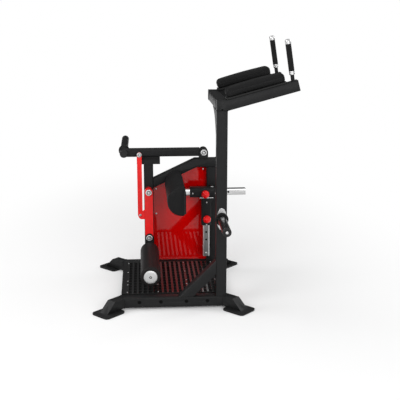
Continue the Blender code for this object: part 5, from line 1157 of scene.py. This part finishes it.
# %% Inflate a cushion
def inflate(piece, voxel, pressure, cap, frames=20):
    """Cloth under pressure, baked. cap is the furthest a point may move."""
    remesh = piece.modifiers.new("remesh", "REMESH")
    remesh.mode = "VOXEL"
    remesh.voxel_size = voxel
    baked(piece)
    rest = np.array([corner.co for corner in piece.data.vertices])
    cloth = piece.modifiers.new("cloth", "CLOTH")
    cloth.settings.use_pressure = True
    cloth.settings.uniform_pressure_force = pressure
    cloth.settings.effector_weights.gravity = 0
    cloth.settings.tension_stiffness = 20
    cloth.settings.compression_stiffness = 20
    cloth.settings.bending_stiffness = 0.5
    cloth.point_cache.frame_start = 1
    cloth.point_cache.frame_end = frames
    for step in range(1, frames + 1):
        bpy.context.scene.frame_set(step)
    baked(piece)
    bpy.context.scene.frame_set(1)
    moved = np.array([corner.co for corner in piece.data.vertices]) - rest
    reach = np.linalg.norm(moved, axis=1, keepdims=True)
    rest = rest + moved * np.minimum(1, cap / np.maximum(reach, 1e-9))
    piece.data.vertices.foreach_set("co", rest.ravel())
    print(piece.name, "points:", len(rest))
    return piece


def smooth_and_divide(piece, rounds=4):
    """Evens out the remesh's steps and adds one subdivision."""
    even = piece.modifiers.new("even", "SMOOTH")
    even.factor = 0.5
    even.iterations = rounds
    finer = piece.modifiers.new("finer", "SUBSURF")
    finer.levels = finer.render_levels = 1
    baked(piece)
    piece.data.shade_smooth()
    return piece


def shrunk_copy(name, node, frame_matrix, amount, material):
    """A merged copy of a soft node, drawn in by an amount on each side in its own frame."""
    bm = merged_copy(node)
    bm.transform(frame_matrix.inverted())
    corners = np.array([corner.co for corner in bm.verts])
    low, high = corners.min(axis=0), corners.max(axis=0)
    middle, half = (low + high) / 2, (high - low) / 2
    for corner in bm.verts:
        corner.co = Vector(middle + (np.array(corner.co) - middle) * (half - amount) / half)
    return make_piece(name, bm, material), low, high


PAD_CLIMB = math.radians(15)
low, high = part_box("arm_pad_near")
PAD_FRAME = Matrix.Translation((low + high) / 2) @ Matrix.Rotation(-PAD_CLIMB, 4, "Y")
PAD_DRAWN_IN = np.array((0.0035, 0.0035, 0.0005))     # on each side, before it swells
PAD_SEAT = 0.0003                                     # its low sides stay this far inside the node's
PAD_CROWN = np.array((0.0020, 0.0020, 0.0045))        # its high sides may pass the node's by this
pad, pad_low, pad_high = shrunk_copy("arm_pad_near_cushion", "arm_pad_near", PAD_FRAME, PAD_DRAWN_IN, VINYL)
inflate(pad, 0.0045, 2.0, 0.0048)
smooth_and_divide(pad)
corners = np.array([corner.co for corner in pad.data.vertices])
corners = np.clip(corners, pad_low + PAD_SEAT, pad_high + PAD_CROWN)
pad.data.vertices.foreach_set("co", corners.ravel())
pad.data.transform(PAD_FRAME)
print("arm pad triangles:", len(pad.data.polygons) * 2)

# %% Both arm pads
pad_far = bpy.data.objects.new("arm_pad_far_cushion", pad.data.copy())
bpy.context.scene.collection.objects.link(pad_far)
pad_far.data.transform(Matrix.Translation(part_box("arm_pad_far")[0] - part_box("arm_pad_near")[0]))
for side, cushion in (("near", pad), ("far", pad_far)):
    join(cushion, "frame", "black_vinyl", f"arm_pad_{side}")

# %% Thigh pad
low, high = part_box("thigh_pad")
THIGH_FRAME = Matrix.Translation((low + high) / 2)
thigh, thigh_low, thigh_high = shrunk_copy("thigh_pad_cushion", "thigh_pad", THIGH_FRAME, 0.0008, VINYL)
inflate(thigh, 0.0050, 1.6, 0.0030)
smooth_and_divide(thigh)
corners = np.array([corner.co for corner in thigh.data.vertices])
corners = np.clip(corners, thigh_low - 0.002, thigh_high + np.array((-0.0002, 0.002, 0.002)))
thigh.data.vertices.foreach_set("co", corners.ravel())
thigh.data.transform(THIGH_FRAME)
join(thigh, "thigh_pad_assembly", "black_vinyl", "thigh_pad")
print("thigh pad triangles:", len(thigh.data.polygons) * 2)

# %% [markdown]
# The covers are sewn from panels. A seam is found, not drawn: a plane cuts the finished cushion, and
# where it cuts is the path of a thin piping. Beside it runs a row of stitches, each a short
# thread with round ends laid along the path.

# %% Seams
def cut_loop(piece, point, normal, lift=0.0, smooth=12, count=240):
    """The closed path where a plane cuts a piece, evenly spaced, and lifted off the surface."""
    bm = bmesh.new()
    bm.from_mesh(piece.data)
    cut = bmesh.ops.bisect_plane(bm, geom=bm.verts[:] + bm.edges[:] + bm.faces[:], dist=0.000001,
                                 plane_co=point, plane_no=normal)["geom_cut"]
    edges = [item for item in cut if isinstance(item, bmesh.types.BMEdge)]
    neighbours = {}
    for edge in edges:
        first, second = edge.verts
        neighbours.setdefault(first, []).append(second)
        neighbours.setdefault(second, []).append(first)
    best = []
    left = set(neighbours)
    while left:
        corner = min(left, key=lambda item: item.index)
        chain = []
        while corner is not None:
            chain.append(corner)
            left.discard(corner)
            corner = next((other for other in neighbours[corner] if other in left), None)
        best = max(best, chain, key=len)
    points = np.array([corner.co for corner in best])
    bm.free()
    points = np.vstack([points, points[:1]])
    for _ in range(smooth):
        ring = points[:-1]
        ring = (np.roll(ring, 1, axis=0) + ring * 2 + np.roll(ring, -1, axis=0)) / 4
        points = np.vstack([ring, ring[:1]])
    lengths = np.concatenate([[0], np.cumsum(np.linalg.norm(np.diff(points, axis=0), axis=1))])
    stations = np.linspace(0, lengths[-1], count + 1)
    even = np.stack([np.interp(stations, lengths, points[:, axis]) for axis in range(3)], axis=1)
    middle = even[:-1].mean(axis=0)
    tangent = np.roll(even[:-1], -1, axis=0) - np.roll(even[:-1], 1, axis=0)
    outward = np.cross(tangent, np.array(normal))
    outward /= np.linalg.norm(outward, axis=1, keepdims=True)
    outward *= np.sign(np.sum(outward * (even[:-1] - middle), axis=1, keepdims=True))
    lifted = even[:-1] + outward * lift
    return [Vector(point) for point in lifted] + [Vector(lifted[0])]


def stitch_tree():
    """Short threads along the carrier's paths."""
    tree, pen, wires = new_tree("stitches", [("Pitch", "Float"), ("Length", "Float"), ("Radius", "Float"),
                                             ("Material", "Material")])
    curve = pen.box("GeometryNodeMeshToCurve", inputs={"Mesh": wires["Geometry"]})
    spots = pen.box("GeometryNodeCurveToPoints", {"mode": "LENGTH"},
                    {"Curve": curve, "Length": wires["Pitch"]})
    tangent = spots.sibling("Tangent")
    turn = pen.box("FunctionNodeAlignRotationToVector", {"axis": "Z"}, {"Vector": tangent})
    thread = pen.box("GeometryNodeMeshUVSphere",
                     inputs={"Segments": 6, "Rings": 5, "Radius": wires["Radius"]})
    size = pen.box("ShaderNodeCombineXYZ",
                   inputs={"X": 1.0, "Y": 1.0, "Z": wires["Length"] / wires["Radius"] / 2})
    placed = pen.box("GeometryNodeInstanceOnPoints",
                     inputs={"Points": spots, "Instance": thread, "Rotation": turn, "Scale": size})
    return end_tree(tree, pen, placed, wires["Material"])


STITCH_TREE = stitch_tree()
PIPING = {"Radius": 0.0011, "Ripple": 0.009, "Depth": 0.0, "Material": VINYL}
STITCHES = {"Pitch": 0.0044, "Length": 0.0032, "Radius": 0.00032, "Material": THREAD}
pad_up = (PAD_FRAME.to_3x3() @ Z).normalized()
pipings, rows = [], []
for cushion, node in ((pad, "arm_pad_near"), (pad_far, "arm_pad_far")):
    low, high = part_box(node)
    middle = (low + high) / 2
    pipings.append(cut_loop(cushion, middle + pad_up * 0.0090, pad_up, 0.0003))
    rows.append(cut_loop(cushion, middle + pad_up * 0.0050, pad_up, 0.0001))
grow("arm_pad_piping", BEAD_TREE, path_mesh(pipings), PIPING, "frame", "black_vinyl")
grow("arm_pad_stitches", STITCH_TREE, path_mesh(rows), STITCHES, "frame", "black_vinyl")
low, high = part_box("thigh_pad")
pipings = [cut_loop(thigh, Vector((0, y, 0)), Y, 0.0002) for y in (low.y + 0.016, high.y - 0.016)]
rows = [cut_loop(thigh, Vector((0, y, 0)), Y, 0.0001) for y in (low.y + 0.020, high.y - 0.020)]
grow("thigh_pad_piping", BEAD_TREE, path_mesh(pipings), PIPING, "thigh_pad_assembly", "black_vinyl")
grow("thigh_pad_stitches", STITCH_TREE, path_mesh(rows), STITCHES, "thigh_pad_assembly", "black_vinyl")

# %% [markdown]
# The roller is a foam tube with softened ends. Its surface has the faint unevenness of moulded foam, so
# its many points are moved by a little smooth noise, in and out, never more than half a millimetre.

# %% Foam roller
start, length, radius = span("foam_roller", Y)
radius = (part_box("foam_roller")[1].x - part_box("foam_roller")[0].x) / 2
bore = 0.0150
ROLLER_EDGE = 0.012
profile = [(0.0020, bore), (0.0004, bore + 0.004)]
for step in range(13):
    angle = math.pi / 2 * step / 12
    profile.append((ROLLER_EDGE * (1 - math.cos(angle)), radius - ROLLER_EDGE * (1 - math.sin(angle))))
middle_steps = 56
for step in range(1, middle_steps):
    profile.append((ROLLER_EDGE + (length - 2 * ROLLER_EDGE) * step / middle_steps, radius))
mirrored = [(length - along, wide) for along, wide in profile[:15]][::-1]
profile = profile + mirrored + [profile[0]]
roller = make_piece("foam_roller_soft", lathe(start, Y, profile, sides=128), FOAM)
rng = np.random.default_rng(7)
waves = [(rng.normal(size=3) * 28, rng.uniform(0, 6.28)) for _ in range(8)]
corners = np.array([corner.co for corner in roller.data.vertices])
out = corners - np.array(start)
out[:, 1] = 0
distance = np.linalg.norm(out, axis=1)
sway = sum(np.sin(corners @ wave + phase) for wave, phase in waves) / 8
shift = np.where(distance > bore + 0.002, sway * 0.0005 - 0.0002, 0)
corners += out / distance[:, None] * shift[:, None]
roller.data.vertices.foreach_set("co", corners.ravel())
join(roller, "foam_roller", "black_vinyl", "foam_roller")
print("roller:", len(roller.data.polygons), "faces")

# %% [markdown]
# The studio: a plain pale floor that fades to white, and soft light from large areas. The key lamp hangs
# high on the left in front, broad ones in front and above fill the rest, one on each side lights the
# edges, and the world is a dim even fill. Camera rays see a white background. Glossy and transmission
# rays see a bright room that is dark low at the back, so plated parts have a dark side too.

# %% Floor
FLOOR_HALF = 14.0
floor_mesh = bpy.data.meshes.new("studio_floor")
floor_mesh.from_pydata([(-FLOOR_HALF, -FLOOR_HALF, 0), (FLOOR_HALF, -FLOOR_HALF, 0),
                        (FLOOR_HALF, FLOOR_HALF, 0), (-FLOOR_HALF, FLOOR_HALF, 0)], [], [(0, 1, 2, 3)])
floor = bpy.data.objects.new("studio_floor", floor_mesh)
bpy.context.scene.collection.objects.link(floor)


FLOOR_GREY = 0.82
WHITE_MIDDLE = (0.0, -1.0)                # the floor is plain FLOOR_GREY here, in metres
WHITE_REACH = (2.0, 5.0)                  # and plain white this far from there, along X and Y


def floor_finish():
    """Pale matt floor near the machine that turns into plain white further away."""
    material, pen, shader, place = new_finish("studio_floor", Roughness=0.9, Specular_IOR_Level=0.0)
    shader.inputs["Base Color"].default_value = grey(FLOOR_GREY)
    spot = pen.box("ShaderNodeSeparateXYZ", inputs={0: place})
    across, along = ((spot.sibling(axis) - middle) / reach
                     for axis, middle, reach in zip("XY", WHITE_MIDDLE, WHITE_REACH))
    fade = ((across * across + along * along) ** 0.5).between(0.0, 1.0)
    glow = pen.box("ShaderNodeEmission", inputs={"Color": grey(1.0), "Strength": 1.0})
    mixed = pen.box("ShaderNodeMixShader", inputs={0: fade, 1: Wire(pen.tree, shader.outputs[0]), 2: glow})
    out = pen.tree.nodes["Material Output"]
    pen.tree.links.new(mixed.socket, out.inputs["Surface"])
    return material


floor_mesh.materials.append(floor_finish())

# %% World and lamps
world = bpy.data.worlds.new("studio_world")
world.use_nodes = True
bpy.context.scene.world = world
sky = Pen(world.node_tree)
rays = sky.tree.nodes.new("ShaderNodeLightPath")
by_camera = Wire(sky.tree, rays.outputs["Is Camera Ray"])
by_gloss = Wire(sky.tree, rays.outputs["Is Glossy Ray"]).most(
    Wire(sky.tree, rays.outputs["Is Transmission Ray"]))
background = sky.tree.nodes["Background"]
background.inputs["Color"].default_value = grey(1.0)
FILL = 0.36                               # even light on everything, against 1 for the background
HORIZON = 0.05                            # what is left of the mirrored room low at the back
toward = sky.box("ShaderNodeSeparateXYZ", inputs={0: sky.box("ShaderNodeTexCoord", output="Generated")})
behind, height = toward.sibling("Y").between(-0.30, 0.35), toward.sibling("Z")
low = 1 - height.between(0.42, 0.75)
room = 1 - behind * low * (1 - HORIZON * height.between(-0.05, 0.30))
strength = by_camera + (1 - by_camera) * (by_gloss * room + (1 - by_gloss) * FILL)
plug(sky.tree, background.inputs["Strength"], strength)


def area_lamp(name, place, target, width, height, power, mirrored=True):
    """A soft rectangular lamp at a place, facing a target. Not mirrored, it lights without glare."""
    data = bpy.data.lights.new(name, "AREA")
    data.shape = "RECTANGLE"
    data.size, data.size_y = width, height
    data.energy = power
    lamp = bpy.data.objects.new(name, data)
    lamp.location = place
    lamp.rotation_euler = (Vector(target) - Vector(place)).to_track_quat("-Z", "Y").to_euler()
    lamp.visible_glossy = mirrored
    bpy.context.scene.collection.objects.link(lamp)
    return lamp


area_lamp("key", (-3.2, -3.0, 2.6), (0, 0, 0.7), 2.2, 2.2, 80)
area_lamp("front", (1.4, -5.0, 1.9), (0, 0, 0.6), 3.0, 2.0, 112, mirrored=False)
area_lamp("top", (0.2, -0.6, 4.2), (0, 0.0, 0), 3.2, 3.2, 36, mirrored=False)
area_lamp("low_front", (0.5, -5.0, 1.35), (0, 0, 0.6), 3.4, 1.4, 36)
area_lamp("rim_left", (-3.0, 0.4, 3.1), (-0.4, -0.6, 0.1), 1.8, 1.8, 50)
area_lamp("rim_right", (3.3, 0.8, 2.6), (0.4, -0.6, 0.1), 1.8, 1.8, 38)
print("lamps:", [item.name for item in bpy.data.lights])
